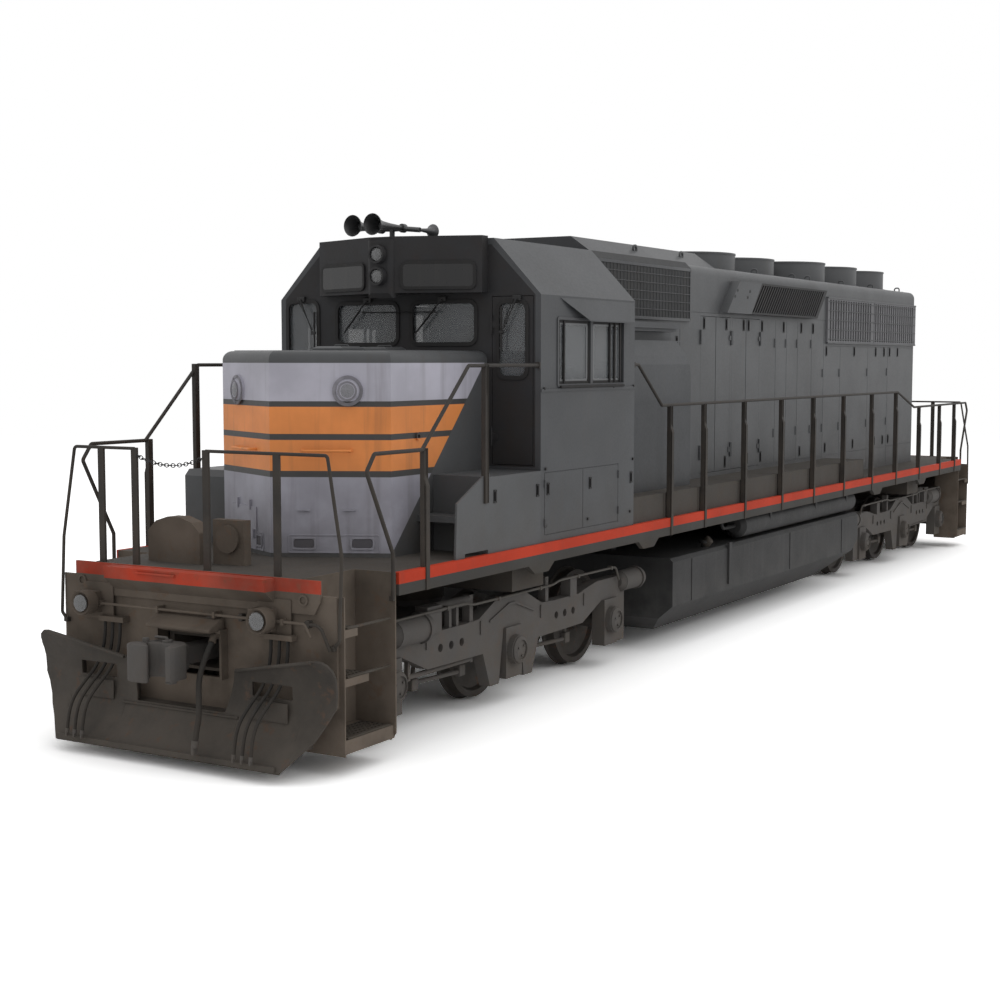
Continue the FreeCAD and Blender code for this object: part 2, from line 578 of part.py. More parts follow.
def hose(name, radius, way):
    """Sweep a hose along its route, with arcs as large as its runs allow, and print the radii."""
    corners = [Vector(*(number(c) for c in point)) for point in way]
    edges, last, radii = [], corners[0], []
    for before, corner, after in zip(corners, corners[1:], corners[2:]):
        into, out = corner - before, after - corner
        back = 0.45 * min(into.Length, out.Length)
        turn = into.getAngle(out)
        bend = back / math.tan(turn / 2)
        into.normalize()
        out.normalize()
        start, end = corner - into * back, corner + out * back
        middle = corner + (out - into).normalize() * (bend / math.cos(turn / 2) - bend)
        edges += [Part.LineSegment(last, start).toShape(), Part.Arc(start, middle, end).toShape()]
        last = end
        radii.append(round(bend))
    edges.append(Part.LineSegment(last, corners[-1]).toShape())
    path = Part.Wire(edges)
    circle = Part.Circle(corners[0], corners[1] - corners[0], radius)
    pipe = DOC.addObject("Part::Feature", name)
    pipe.Shape = path.makePipeShell([Part.Wire(circle.toShape())], True, False)
    share = pipe.Shape.Volume / (math.pi * radius ** 2 * path.Length)
    print(name, "length", round(path.Length), "bend radii", radii, "volume share", round(share, 4))
    return pipe, corners[-1], (corners[-1] - corners[-2]).normalize()


def hand(name, radius, tip, way):
    """Make the metal coupling head on the end of a hose."""
    turn = Rotation(Vector(0, 0, 1), way)
    socket = Part.makeCylinder(radius * 1.25, radius * 3)
    jaw = Part.makeBox(radius * 2.6, radius * 1.5, radius * 2.6, Vector(-radius * 0.9, -radius * 0.75, radius * 2.2))
    head = DOC.addObject("Part::Feature", name)
    head.Shape = socket.fuse(jaw).removeSplitter()
    head.Placement = Placement(tip, turn)
    return head


def front_hoses():
    """Six control hoses in two clusters and the brake pipe hose, each with its coupling head."""
    pipes, heads = [], []
    for cluster in HOSE_CLUSTERS:
        for step in (-85, 0, 85):
            way = [(f"PlateEnd + {x}", cluster + step + y, f"HoseExit + {z}") for x, y, z in MU_ROUTE]
            pipe, tip, down = hose("control_hose", S.HoseRadius, way)
            pipes.append(pipe)
            heads.append(hand("control_head", S.HoseRadius, tip, down))
    way = [(f"PlateEnd + {x}", y, f"BrakeExit + {z}") for x, y, z in BRAKE_ROUTE]
    pipe, tip, down = hose("brake_hose", S.TrainHoseRadius, way)
    pipes.append(pipe)
    heads.append(hand("brake_head", S.TrainHoseRadius, tip, down))
    node("front_hoses", together("front_hoses", *pipes))
    node("hose_couplings", together("hose_couplings", *heads))


def coupler(end, name):
    """Knuckle coupler: shank on its swing pin, head, guard arm and knuckle."""
    def x(text):
        return text if end > 0 else f"-({text})"

    low, high = ("CouplerPivotX - 90", "CouplerFace - 260")
    shank = block("shank", (x(low), x(high)) if end > 0 else (x(high), x(low)), ("-75", "75"),
                  ("CouplerZ - 80", "CouplerZ + 80"))
    head = slab("coupler_head", "XY",
                tuple((x(u), v if end > 0 else f"-({v})") for u, v in
                      (("CouplerFace - 280", "-75"), ("CouplerFace - 280", "75"), ("CouplerFace - 190", "190"),
                       ("CouplerFace - 35", "215"), ("CouplerFace - 35", "140"), ("CouplerFace - 140", "95"),
                       ("CouplerFace - 150", "-60"), ("CouplerFace - 90", "-110"),
                       ("CouplerFace - 90", "-160"), ("CouplerFace - 180", "-175"))),
                "CouplerZ - 150", "CouplerZ + 150")
    knuckle = slab("knuckle", "XY",
                   tuple((x(u), v if end > 0 else f"-({v})") for u, v in
                         (("CouplerFace - 120", "-165"), ("CouplerFace - 40", "-150"), ("CouplerFace", "-90"),
                          ("CouplerFace", "20"), ("CouplerFace - 60", "50"), ("CouplerFace - 70", "-50"),
                          ("CouplerFace - 120", "-60"))), "CouplerZ - 140", "CouplerZ + 140")
    eye = drum("eye", "z", (x("CouplerPivotX"), "0", "CouplerZ - 90"), "SwingPin + RunningGap", "180")
    pin = drum("knuckle_pin", "z", (x("CouplerFace - 105"), "-115" if end > 0 else "115", "CouplerZ - 165"), 32, 330)
    lock = block("lock_lift", (x("CouplerFace - 235"), x("CouplerFace - 175")) if end > 0 else
                 (x("CouplerFace - 175"), x("CouplerFace - 235")), ("-30", "30"), ("CouplerZ + 140", "CouplerZ + 185"))
    node(name, cut(name, fuse("coupler_body", shank, head, knuckle, pin, lock), eye))


def tank():
    """Fuel tank with sloping ends and chamfered lower edges, splash plates and the air reservoirs."""
    across = slab("tank_across", "YZ",
                  (("-TankHalf + 380", "TankFoot"), ("TankHalf - 380", "TankFoot"),
                   ("TankHalf", "TankFoot + 330"), ("TankHalf", "TankTop - 40"), ("TankHalf - 40", "TankTop"),
                   ("40 - TankHalf", "TankTop"), ("-TankHalf", "TankTop - 40"), ("-TankHalf", "TankFoot + 330")),
                  "-TankRear", "TankFront")
    along = slab("tank_along", "XZ",
                 (("-TankRear + 800", "TankFoot"), ("TankFront - 300", "TankFoot"),
                  ("TankFront", "TankFoot + 180"), ("TankFront", "TankTop"), ("-TankRear", "TankTop"),
                  ("-TankRear", "TankFoot + 480")), "-TankHalf", "TankHalf")
    body = DOC.addObject("Part::MultiCommon", "tank_body")
    body.Shapes = [across, along]
    saddles = [block("saddle", (x - 60, x + 60), ("-BeamHalf - 60", "BeamHalf + 60"),
                     ("TankTop - 20", "BeamBottom")) for x in (-2900, -900, 1100, 2700)]
    fittings = []
    for side in (-1, 1):
        def wide(a, b, side=side):
            return (a, b) if side > 0 else (f"-({b})", f"-({a})")
        fittings += [drum("filler_neck", "z", (1900, f"{side} * (TankHalf - 150)", "TankTop - 60"), 48, 120),
                     drum("filler_cap", "z", (1900, f"{side} * (TankHalf - 150)", "TankTop + 52"), 70, 34),
                     block("gauge_channel", (1480, 1560), wide("TankHalf - 4", "TankHalf + 26"),
                           ("TankFoot + 400", "TankTop + 30"))]
        fittings += [block("tank_strap", (x - 30, x + 30), wide("TankHalf - 4", "TankHalf + 8"),
                           ("TankFoot + 340", "TankTop - 50")) for x in (-2700, -600, 2600)]
    node("fuel_tank", fuse("fuel_tank", body, *saddles, *fittings))
    drums = [drum("reservoir", "x", (-3200, "TankHalf - ReservoirRadius + 30", "TankTop + 180"),
                  "ReservoirRadius", "4220"),
             bell("reservoir_head", "x", (1020, "TankHalf - ReservoirRadius + 30", "TankTop + 180"),
                  "ReservoirRadius", "ReservoirRadius - 60", 50),
             bell("reservoir_tail", "x", (-3250, "TankHalf - ReservoirRadius + 30", "TankTop + 180"),
                  "ReservoirRadius - 60", "ReservoirRadius", 50),
             tube("air_pipe", ((1040, number("TankHalf - 120"), number("TankTop + 180")),
                               (1480, number("TankHalf - 120"), number("TankTop + 180")),
                               (1480, number("TankHalf - 120"), number("SillTop - DeckThick"))), 22, 90)]
    straps = [block("strap", (x - 25, x + 25), ("TankHalf - 2 * ReservoirRadius + 30", "TankHalf + 30"),
                    ("TankTop + 180", "SillTop - DeckThick")) for x in (-2800, -1500, 200)]
    left = fuse("left_reservoir", *drums, *straps)
    node("air_reservoirs", together("air_reservoirs", left, flipped(left)))


# ---------------------------------------------------------------- cab and short hood
CAB_INSIDE = (("CabWall - CabHalf", "CabFloor"), ("CabHalf - CabWall", "CabFloor"),
              ("CabHalf - CabWall", "CabShoulder"), ("CabRoofHalf - 25", "CabRoof - CabWall"),
              ("25 - CabRoofHalf", "CabRoof - CabWall"), ("CabWall - CabHalf", "CabShoulder"))

# window openings of the cab: name, wall, low and high across, low and high z
WINDOWS = (
    ("front_left_pane", "front", 90, 810, 3450, 3840),
    ("front_right_pane", "front", -810, -90, 3450, 3840),
    ("front_outer_pane", "front", -1430, -1060, 3130, 3870),
    ("rear_left_pane", "rear", 1060, 1400, 3250, 3800),
    ("left_fore_pane", "left", 5330, 6000, 3060, 3670),
    ("left_aft_pane", "left", 4610, 5280, 3060, 3670),
    ("right_fore_pane", "right", 5330, 6000, 3060, 3670),
    ("right_aft_pane", "right", 4610, 5280, 3060, 3670),
)
# wall name: low and high of the wall through its thickness
WALLS = {"front": ("CabFront - CabWall", "CabFront"), "rear": ("CabRear", "CabRear + CabWall"),
         "left": ("CabHalf - CabWall", "CabHalf"), "right": ("-CabHalf", "CabWall - CabHalf")}


def through(name, wall, low, high, foot, head, depth=None):
    """Make a block through a cab wall, or a pane of the given depth in the wall's middle."""
    inner, outer = WALLS[wall]
    if depth:
        middle = f"(({inner}) + ({outer})) / 2"
        inner, outer = f"{middle} - ({depth}) / 2", f"{middle} + ({depth}) / 2"
    else:
        inner, outer = f"{inner} - 20", f"{outer} + 20"
    if wall in ("front", "rear"):
        return block(name, (inner, outer), (low, high), (foot, head))
    return block(name, (low, high), (inner, outer), (foot, head))


def seam(side, face, low, high, foot, head):
    """Make the cutter of a straight gap, SeamDepth deep, in an outer side face."""
    depth = (f"{face} - SeamDepth", f"{face} + 10") if side > 0 else (f"-{face} - 10", f"SeamDepth - {face}")
    return block("seam", (low, high), depth, (foot, head))


def sun_shade(side):
    """Sheet that slopes out over the side windows, with its two gussets."""
    outline = tuple((f"{side} * ({u})", v) for u, v in
                    (("CabHalf - 5", "CabShoulder - 34"), ("CabHalf - 5", "CabShoulder - 20"),
                     ("CabHalf + 4", "CabShoulder - 20"), ("CabHalf + 84", "CabShoulder - 222"),
                     ("CabHalf + 84", "CabShoulder - 236")))
    sheet = slab("shade_sheet", "YZ", outline, "CabRear + 28", "CabFront - 374")
    nose = slab("shade_nose", "XZ",
                (("CabFront - 380 - 480", "CabShoulder - 240"), ("CabFront - 340", "CabShoulder - 240"),
                 ("CabFront - 340", "CabShoulder - 18"), ("CabFront - 374", "CabShoulder - 18")),
                *(("CabHalf + 1", "CabHalf + 100") if side > 0 else ("-CabHalf - 100", "-CabHalf - 1")))
    tail = slab("shade_tail", "XZ",
                (("CabRear + 20", "CabShoulder - 240"), ("CabRear + 188", "CabShoulder - 240"),
                 ("CabRear + 28", "CabShoulder - 18"), ("CabRear + 20", "CabShoulder - 18")),
                *(("CabHalf + 1", "CabHalf + 100") if side > 0 else ("-CabHalf - 100", "-CabHalf - 1")))
    return cut("sun_shade", sheet, nose, tail)


def cab():
    """Base with lockers, four walls with window and door openings, roof, glass and inside."""
    lockers = [seam(side, "CabHalf", *edges) for side in (-1, 1) for edges in
               ((4700, 4708, 1640, 2230), (5480, 5488, 1640, 2230), (6262, 6270, 1640, 2230),
                (4700, 6270, 1632, 1640), (4700, 6270, 2222, 2230))]
    node("cab_base", cut("cab_base", block("base_block", ("CabRear", "CabFront"), ("-CabHalf", "CabHalf"),
                                           ("SillTop", "CabFloor")), *lockers))
    holes = {wall: [through(name + "_hole", wall, *sides) for name, where, *sides in WINDOWS if where == wall]
             for wall in WALLS}
    holes["front"].append(through("front_doorway", "front", "DoorInner - DoorGap", "DoorOuter + DoorGap",
                                  "DoorFoot - DoorGap", "DoorHead + DoorGap"))
    holes["rear"].append(through("rear_doorway", "rear", "-DoorOuter - DoorGap", "DoorGap - DoorInner",
                                 "DoorFoot - DoorGap", "DoorHead + DoorGap"))
    front = cut("cab_front", slab("front_sheet", "YZ", CAB_INSIDE, *WALLS["front"]), *holes["front"])
    rear = cut("cab_rear", slab("rear_sheet", "YZ", CAB_INSIDE, *WALLS["rear"]), *holes["rear"])
    sides = []
    for wall, side in (("left", 1), ("right", -1)):
        sheet = cut(f"cab_{wall}", block(f"{wall}_sheet", ("CabRear", "CabFront"), WALLS[wall],
                                         ("CabFloor", "CabShoulder")), *holes[wall])
        belt = block("belt_rail", ("CabRear", "CabFront"), ("CabHalf - 5", "CabHalf + 10") if side > 0 else
                     ("-CabHalf - 10", "5 - CabHalf"), (2990, 3018))
        sides.append(fuse(f"{wall}_side", sheet, belt, sun_shade(side)))
    node("cab_sides", together("cab_sides", *sides))
    node("cab_roof", slab("cab_roof", "YZ",
                          (("CabHalf - CabWall", "CabShoulder"), ("CabHalf", "CabShoulder"),
                           ("CabRoofHalf", "CabRoof"), ("-CabRoofHalf", "CabRoof"), ("-CabHalf", "CabShoulder"),
                           ("CabWall - CabHalf", "CabShoulder"), ("25 - CabRoofHalf", "CabRoof - CabWall"),
                           ("CabRoofHalf - 25", "CabRoof - CabWall")), "CabRear", "CabFront"))
    node("cab_glass", together("cab_glass", *(through(name, wall, *sides, depth="GlassThick")
                                              for name, wall, *sides in WINDOWS)))
    for name, wall, side, window in (("front_door", "front", 1, (3130, 3830)),
                                     ("rear_door", "rear", -1, (3250, 3800))):
        edges = ("DoorInner", "DoorOuter") if side > 0 else ("-DoorOuter", "-DoorInner")
        glass = (1070, 1370) if side > 0 else (-1370, -1070)
        leaf = block(name + "_leaf", WALLS[wall], edges, ("DoorFoot", "DoorHead"))
        sheet = cut(name + "_sheet", leaf, through(name + "_hole", wall, *glass, *window))
        moving, fixed = hinges(name + "_hinge", "x", f"{side} * (DoorInner - DoorGap)", side,
                               "CabFront" if side > 0 else "CabRear", side,
                               ("DoorFoot + 260", "DoorHead - 260"))
        node(name, fuse(name, sheet, *moving))
        node(f"cab_{wall}", fuse(f"cab_{wall}", front if side > 0 else rear, *fixed))
    seats = []
    for y in (-950, 950):
        seats.append(fuse("seat", block("seat_post", (5200, 5280), (y - 40, y + 40), ("CabFloor", 2650)),
                          block("seat_foot", (5120, 5360), (y - 120, y + 120), ("CabFloor", "CabFloor + 20")),
                          block("seat_pad", (5000, 5460), (y - 230, y + 230), (2640, 2740)),
                          block("seat_back", (4940, 5030), (y - 220, y + 220), (2640, 3250))))
    node("cab_seats", together("cab_seats", *seats))
    node("control_stand", slab("control_stand", "XZ",
                               ((5700, "CabFloor"), (6150, "CabFloor"), (6150, 3250), (5980, 3330),
                                (5750, 3180), (5750, 2950)), -700, -420))


def on_face(part, x, angle):
    """Turn a part about Z, from a frame whose X points out of a slanted face, and place it at x."""
    part.Placement = Placement(Vector(), Rotation(Vector(0, 0, 1), angle))
    bind(part, Placement__Base__x=x)
    return part


def short_hood():
    """Short hood with its V front and fittings, steps and boxes beside it, and the light box."""
    shell = slab("nose_shell", "XY",
                 (("CabFront", "-NoseHalf"), ("NoseShoulder", "-NoseHalf"), ("NoseTip", "0"),
                  ("NoseShoulder", "NoseHalf"), ("CabFront", "NoseHalf")), "SillTop", "NoseTop")
    rounded(shell, "NoseRound", lambda p, way: p.z > S.NoseTop - 1 and p.x > S.CabFront + 1)
    turn = math.degrees(math.atan2(S.NoseTip - S.NoseShoulder, S.NoseHalf))
    fittings = [shell]
    footholds = []
    for side in (-1, 1):
        def across(a, b, side=side):
            return (a, b) if side > 0 else (-b, -a)
        pieces = [drum("lamp_flange", "x", (-30, side * 690, 3020), 135, 48),
                  bell("lamp_rim", "x", (10, side * 690, 3020), 100, 78, 32),
                  tube("nose_grab", ((-30, side * 290, 2500), (70, side * 290, 2500),
                                     (70, side * 715, 2500), (-30, side * 715, 2500)), 11, 30)]
        if side > 0:
            pieces += [block("ledge", (-30, 26), (y, y + 110), (1975, 1987)) for y in (240, 640)]
            footholds += [on_face(block("foothold", (-70, 40), (y, y + 150), (1650, 1730)), "NoseTip", turn)
                          for y in (240, 640)]
        else:
            pieces += [block("sand_hatch", (-30, 10), across(300, 860), (1600, 1980)),
                       block("hatch_latch", (-30, 30), across(330, 360), (1700, 1780))]
            pieces += [block("hatch_hinge", (-30, 22), across(y, y + 24), (1950, 2040)) for y in (420, 700)]
        fittings.append(on_face(fuse("face_fittings", *pieces), "NoseTip", side * turn))
    eye = [ring("tow_eye", "y", (7560, "NoseHalf - 4", 2610), 34, 18, 26)]
    node("nose", cut("nose", fuse("nose_whole", *fittings, *eye), *footholds))
    box = slab("battery_box", "XZ",
               (("CabFront", "SillTop"), ("BatteryBack", "SillTop"), ("BatteryBack", "BatteryTop"),
                ("CabFront", "BatteryTop")), "NoseHalf", "CabHalf")
    cheek = slab("step_cheek", "XZ",
                 (("BatteryBack - 10", "SillTop"), (7308, "SillTop"), (7308, 1602), (7700, 1602),
                  (7700, "SillTop"), ("BatteryFront", "SillTop"), ("BatteryFront - 25", 2050),
                  ("BatteryBack + 60", "BatteryTop + 30"), ("BatteryBack - 10", "BatteryTop + 30")),
                 "CabHalf - 20", "CabHalf")
    treads = [block("nose_tread", ("BatteryBack - 10", "BatteryBack + 270"), ("NoseHalf", "CabHalf - 10"),
                    (1880, 1906)),
              block("nose_riser", ("BatteryBack + 250", "BatteryBack + 270"), ("NoseHalf", "CabHalf - 10"),
                    (1850, 1906))]
    left = fuse("left_battery_box", box, cheek, *treads)
    right = slab("right_battery_box", "XZ",
                 (("CabFront", "SillTop"), ("BatteryFront", "SillTop"), ("BatteryFront", "BatteryTop - 60"),
                  ("BatteryFront - 60", "BatteryTop"), ("CabFront", "BatteryTop")), "-CabHalf", "-NoseHalf")
    groove = block("lid_seam", (7270, 7278), ("-CabHalf - 10", "SeamDepth - CabHalf"), ("SillTop", 2260))
    node("battery_boxes", together("battery_boxes", left, cut("right_box", right, groove)))


def light_box():
    """V-shaped box over the cab windows with two blank number boards and two head lamps."""
    lights = slab("light_case", "XY",
                  (("CabFront", "-LightHalf"), ("CabFront + LightEnd", "-LightHalf"),
                   ("CabFront + LightTip", -145), ("CabFront + LightTip", 145),
                   ("CabFront + LightEnd", "LightHalf"), ("CabFront", "LightHalf")), 3925, "CabRoof + 20")
    case = slab("lamp_case", "XZ",
                (("CabFront + LightTip - 60", 3925), ("CabFront + LightTip - 20", 3880),
                 ("CabFront + LightTip + 20", 3880), ("CabFront + LightTip + 44", 3925),
                 ("CabFront + LightTip + 44", "CabRoof - 10"), ("CabFront + LightTip - 60", "CabRoof - 10")),
                -150, 150)
    rounded(case, "60", lambda p, way: abs(way.z) > 0.9 and p.x > S.CabFront + S.LightTip)
    rims = [cut("head_lamp", drum("lamp_tube", "x", ("CabFront + LightTip", 0, z), 88, 96),
                bell("lamp_bowl", "x", ("CabFront + LightTip + 60", 0, z), 58, 78, 40)) for z in (4083, 4290)]
    turn = math.degrees(math.atan2(S.LightTip - S.LightEnd, S.LightHalf - 145))
    boards = []
    for side in (-1, 1):
        outline = tuple((f"{side} * {u}", v) for u, v in ((60, 3955), (800, 3955), (800, 4225), (60, 4225)))
        board = slab("number_board", "YZ", outline, -8, 14)
        rounded(board, "62", lambda p, way: abs(way.x) > 0.9)
        board.Placement = Placement(Vector(), Rotation(Vector(0, 0, 1), side * turn))
        bind(board, Placement__Base__x="CabFront + LightTip", Placement__Base__y=f"{side} * 145")
        boards.append(board)
    node("light_box", fuse("light_box", lights, case, *rims, *boards))


def horn():
    """Three-bell air horn on a manifold: two bells look ahead, one looks back."""
    pieces = [block("horn_foot", (5760, 5860), (-480, -400), ("CabRoof", "CabRoof + 110")),
              tube("manifold", ((5800, -640, "CabRoof + 130"), (5800, -180, "CabRoof + 130")), 26)]
    for y, z, length in ((-640, 150, 380), (-430, 160, 420)):
        pieces.append(bell("horn_throat", "x", (5790, y, f"CabRoof + {z}"), 20, 34, length - 90))
        pieces.append(ring("horn_rim", "x", (5790 + length - 4, y, f"CabRoof + {z}"), 78, 66, 14))
        pieces.append(cut("horn_mouth", bell("mouth_out", "x", (5790 + length - 100, y, f"CabRoof + {z}"), 34, 76, 100),
                          bell("mouth_in", "x", (5790 + length - 60, y, f"CabRoof + {z}"), 30, 66, 62)))
    back = bell("horn_back", "x", (5470, -190, "CabRoof + 150"), 70, 22, 350)
    pieces.append(cut("back_bell", back, bell("back_mouth", "x", (5465, -190, "CabRoof + 150"), 60, 30, 60)))
    node("horn", fuse("horn", *pieces))


# ---------------------------------------------------------------- long hood
DOOR_BAYS = 4


def bay(number):
    """Front and rear edge of a door bay of the engine room."""
    return f"HoodDoorFront - {number} * HoodDoorPitch", f"HoodDoorFront - {number + 1} * HoodDoorPitch"


# seams of the fixed hood panels: distance from the middle, foot, head
PANEL_SEAMS = ((-1310, 1890, 3830), (-1730, 1890, 3830), (-2170, 1890, 3830), (-2750, 1890, 3830),
               (-3270, 1590, 3830), (-4020, 1590, 3500), (-5360, 1590, 3500), (-6400, 1590, 3500))


def hood_end():
    """Fittings on the rear wall of the long hood: lamps, blank number boards, hatches and a grab rail."""
    face = "-HoodRear"
    pieces = [block("rear_lamp_case", (f"{face} - 70", f"{face} + 5"), (-120, 120), (3840, 4260))]
    for z in (3950, 4150):
        pieces.append(cut("rear_lamp", drum("rear_lamp_tube", "x", (f"{face} - 110", 0, z), 84, 60),
                          bell("rear_lamp_bowl", "x", (f"{face} - 111", 0, z), 76, 58, 36)))
    for side in (-1, 1):
        def wide(a, b, side=side):
            return (a, b) if side > 0 else (-b, -a)
        pieces += [block("rear_board", (f"{face} - 24", f"{face} + 5"), wide(190, 800), (3900, 4170)),
                   block("rear_hatch", (f"{face} - 10", f"{face} + 5"), wide(330, 820), (1700, 2150)),
                   block("hatch_strap", (f"{face} - 20", f"{face}"), wide(560, 590), (1720, 2170))]
        pieces += [block("rear_step", (f"{face} - 90", f"{face} + 5"), wide(600, 840), (z, z + 14))
                   for z in (2420, 2780, 3140)]
    pieces.append(tube("rear_grab", (("5 - HoodRear", -300, 3400), ("-HoodRear - 70", -300, 3400),
                                     ("-HoodRear - 70", 300, 3400), ("5 - HoodRear", 300, 3400)), 12, 30))
    return pieces


def long_hood():
    """Hood walls with open engine room doorways, fixed panels, rolled roof and door leaves."""
    shell = block("hood_outside", ("-HoodRear", "CabRear"), ("-HoodHalf", "HoodHalf"),
                  ("SillTop", "HoodTop - RoofDrop"))
    room = block("hood_inside", ("HoodWall - HoodRear", "CabRear - HoodWall"),
                 ("HoodWall - HoodHalf", "HoodHalf - HoodWall"), ("SillTop - 10", "HoodTop"))
    front, _ = bay(0)
    _, back = bay(DOOR_BAYS - 1)
    doorway = block("doorway", (f"{back}", f"{front}"), ("-HoodHalf - 50", "HoodHalf + 50"),
                    ("HoodDoorFoot", "HoodDoorHead"))
    gaps = []
    for side in (-1, 1):
        gaps += [seam(side, "HoodHalf", f"{x} - SeamWidth / 2", f"{x} + SeamWidth / 2", foot, head)
                 for x, foot, head in PANEL_SEAMS]
        gaps += [seam(side, "HoodHalf", "-RadiatorFront", "CabRear - 20", z, f"{z} + SeamWidth")
                 for z in ("HoodDoorHead + 36",)]
        gaps.append(seam(side, "HoodHalf", "60 - HoodRear", "-RadiatorFront - 60", "RadiatorFoot - 60",
                         "RadiatorFoot - 60 + SeamWidth"))
        gaps.append(seam(side, "HoodHalf", "60 - HoodRear", f"{back} - 40", "HoodDoorFoot - SeamWidth",
                         "HoodDoorFoot"))
        gaps += [seam(side, "HoodHalf", f"{x} - SeamWidth / 2", f"{x} + SeamWidth / 2", "HoodDoorFoot", 3700)
                 for x in ((1860, 2450, 3040, 3640) if side < 0 else (1860,))]
    walls = cut("hood_shell", shell, room, doorway, *gaps)
    roof = slab("hood_roof", "YZ",
                (("-HoodHalf", "HoodTop - RoofDrop"), ("HoodWall - HoodHalf", "HoodTop - RoofDrop"),
                 ("HoodWall - HoodHalf", "HoodTop - HoodWall"), ("HoodHalf - HoodWall", "HoodTop - HoodWall"),
                 ("HoodHalf - HoodWall", "HoodTop - RoofDrop"), ("HoodHalf", "HoodTop - RoofDrop"),
                 ("HoodHalf", "HoodTop"), ("-HoodHalf", "HoodTop")), "-HoodRear", "CabRear")
    rounded(roof, "RoofRadius", lambda p, way: abs(way.x) > 0.9 and p.z > S.HoodTop - 1)
    node("hood_roof", roof)
    posts = []
    for side, word in ((1, "left"), (-1, "right")):
        faces = ("HoodHalf - HoodWall", "HoodHalf") if side > 0 else ("-HoodHalf", "HoodWall - HoodHalf")
        for number in range(DOOR_BAYS):
            front, back = bay(number)
            ahead = number % 2 == 0
            edges = ((f"{back} + MeetGap / 2", f"{front} - HingePost") if ahead else
                     (f"{back} + HingePost", f"{front} - MeetGap / 2"))
            leaf = block("leaf", edges, faces, ("HoodDoorFoot + DoorGap", "HoodDoorHead - DoorGap"))
            axis, way = (f"{front} - HingePost / 2", -1) if ahead else (f"{back} + HingePost / 2", 1)
            moving, fixed = hinges("hood_hinge", "y", axis, way, f"{side} * HoodHalf", side,
                                   ("HoodDoorFoot + 260", "HoodDoorHead - 260"))
            posts += fixed
            node(f"{word}_hood_door_{number + 1}", fuse("hood_leaf", leaf, *moving))
        for number in (0, 2, 4):
            middle = f"HoodDoorFront - {number} * HoodDoorPitch"
            low = f"{middle} - HingePost + 2" if number < 4 else middle
            high = f"{middle} + HingePost - 2" if number else middle
            posts.append(block("hinge_post", (low, high), faces, ("HoodDoorFoot - 10", "HoodDoorHead + 10")))
    node("hood_walls", fuse("hood_walls", walls, *posts, *hood_end()))


def brake_housing():
    """Slanted dynamic brake housing of the left side, its rear part open in slanted slots."""
    lean = "(BlisterHead - BlisterFoot)"
    case = slab("brake_housing", "XZ",
                (("BlisterFront", "BlisterFoot"), (f"BlisterFront - {lean}", "BlisterHead"),
                 (f"-BlisterRear - {lean}", "BlisterHead"), ("-BlisterRear", "BlisterFoot")),
                "HoodHalf", "BlisterHalf")
    slots = []
    count = int((number("BlisterRear") - 150) // S.SlatPitch)
    for index in range(count):
        low = f"(-150 - {index} * SlatPitch)"
        slots.append(slab("slot", "XZ",
                          ((low, "BlisterFoot + 25"), (f"{low} - SlatSlot", "BlisterFoot + 25"),
                           (f"{low} - SlatSlot - {lean} + 50", "BlisterHead - 25"),
                           (f"{low} - {lean} + 50", "BlisterHead - 25")), "BlisterHalf - 70", "BlisterHalf + 10"))
    return cut("brake_housing_open", case, *slots)


def radiator_grille():
    """Barred grille of the left side in two frames with a split between them."""
    frame = block("radiator_frame", ("-HoodRear", "-RadiatorFront"), ("HoodHalf", "HoodHalf + 30"),
                  ("RadiatorFoot", "RadiatorHead"))
    slots = []
    for start, end in (("-RadiatorFront - 90", "50 - RadiatorSplit"), ("-RadiatorSplit - 50", "50 - HoodRear")):
        for index in range(int((number(start) - number(end)) // S.BarPitch)):
            high = f"({start} - {index} * BarPitch)"
            slots.append(block("bar_slot", (f"{high} - BarSlot", high), ("HoodHalf + 8", "HoodHalf + 40"),
                               ("RadiatorFoot + 25", "RadiatorHead - 25")))
    slots.append(block("split", ("-RadiatorSplit - 14", "14 - RadiatorSplit"), ("HoodHalf + 8", "HoodHalf + 40"),
                       ("RadiatorFoot - 5", "RadiatorHead + 5")))
    return cut("radiator_grille", frame, *slots)


def fan_housing(x, top, word):
    """Open shroud with its foot ring, rim and motor, and the rotor that turns inside it."""
    wall = fuse("shroud_wall", drum("shroud_outside", "z", (x, 0, "HoodTop"), "FanRadius", f"{top} - HoodTop"),
                drum("shroud_foot", "z", (x, 0, "HoodTop"), "FanRadius + 40", 22),
                drum("shroud_rim", "z", (x, 0, f"{top} - 24"), "FanRadius + 8", 24))
    inside = drum("shroud_inside", "z", (x, 0, "HoodTop + 20"), "FanRadius - FanWall", f"{top} - HoodTop")
    motor = drum("fan_motor", "z", (x, 0, "HoodTop + 10"), 170, 80)
    hub = drum("hub", "z", (x, 0, "HoodTop + 90 + RunningGap"), 150, 95)
    blades = [block("blade", ("0", "FanRadius - FanWall - FanGap"), (-60, 60),
                    ("HoodTop + 130", "HoodTop + 150")) for _ in range(6)]
    for turn, blade in enumerate(blades):
        blade.Placement = Placement(Vector(), Rotation(Vector(0, 0, 1), 60 * turn))
        bind(blade, Placement__Base__x=f"{x} + 60 * sin({60 * turn})",
             Placement__Base__y=f"-60 * cos({60 * turn})")
    node(word, fuse(word, hub, *blades))
    return fuse("fan_housing", cut("shroud", wall, inside), motor)


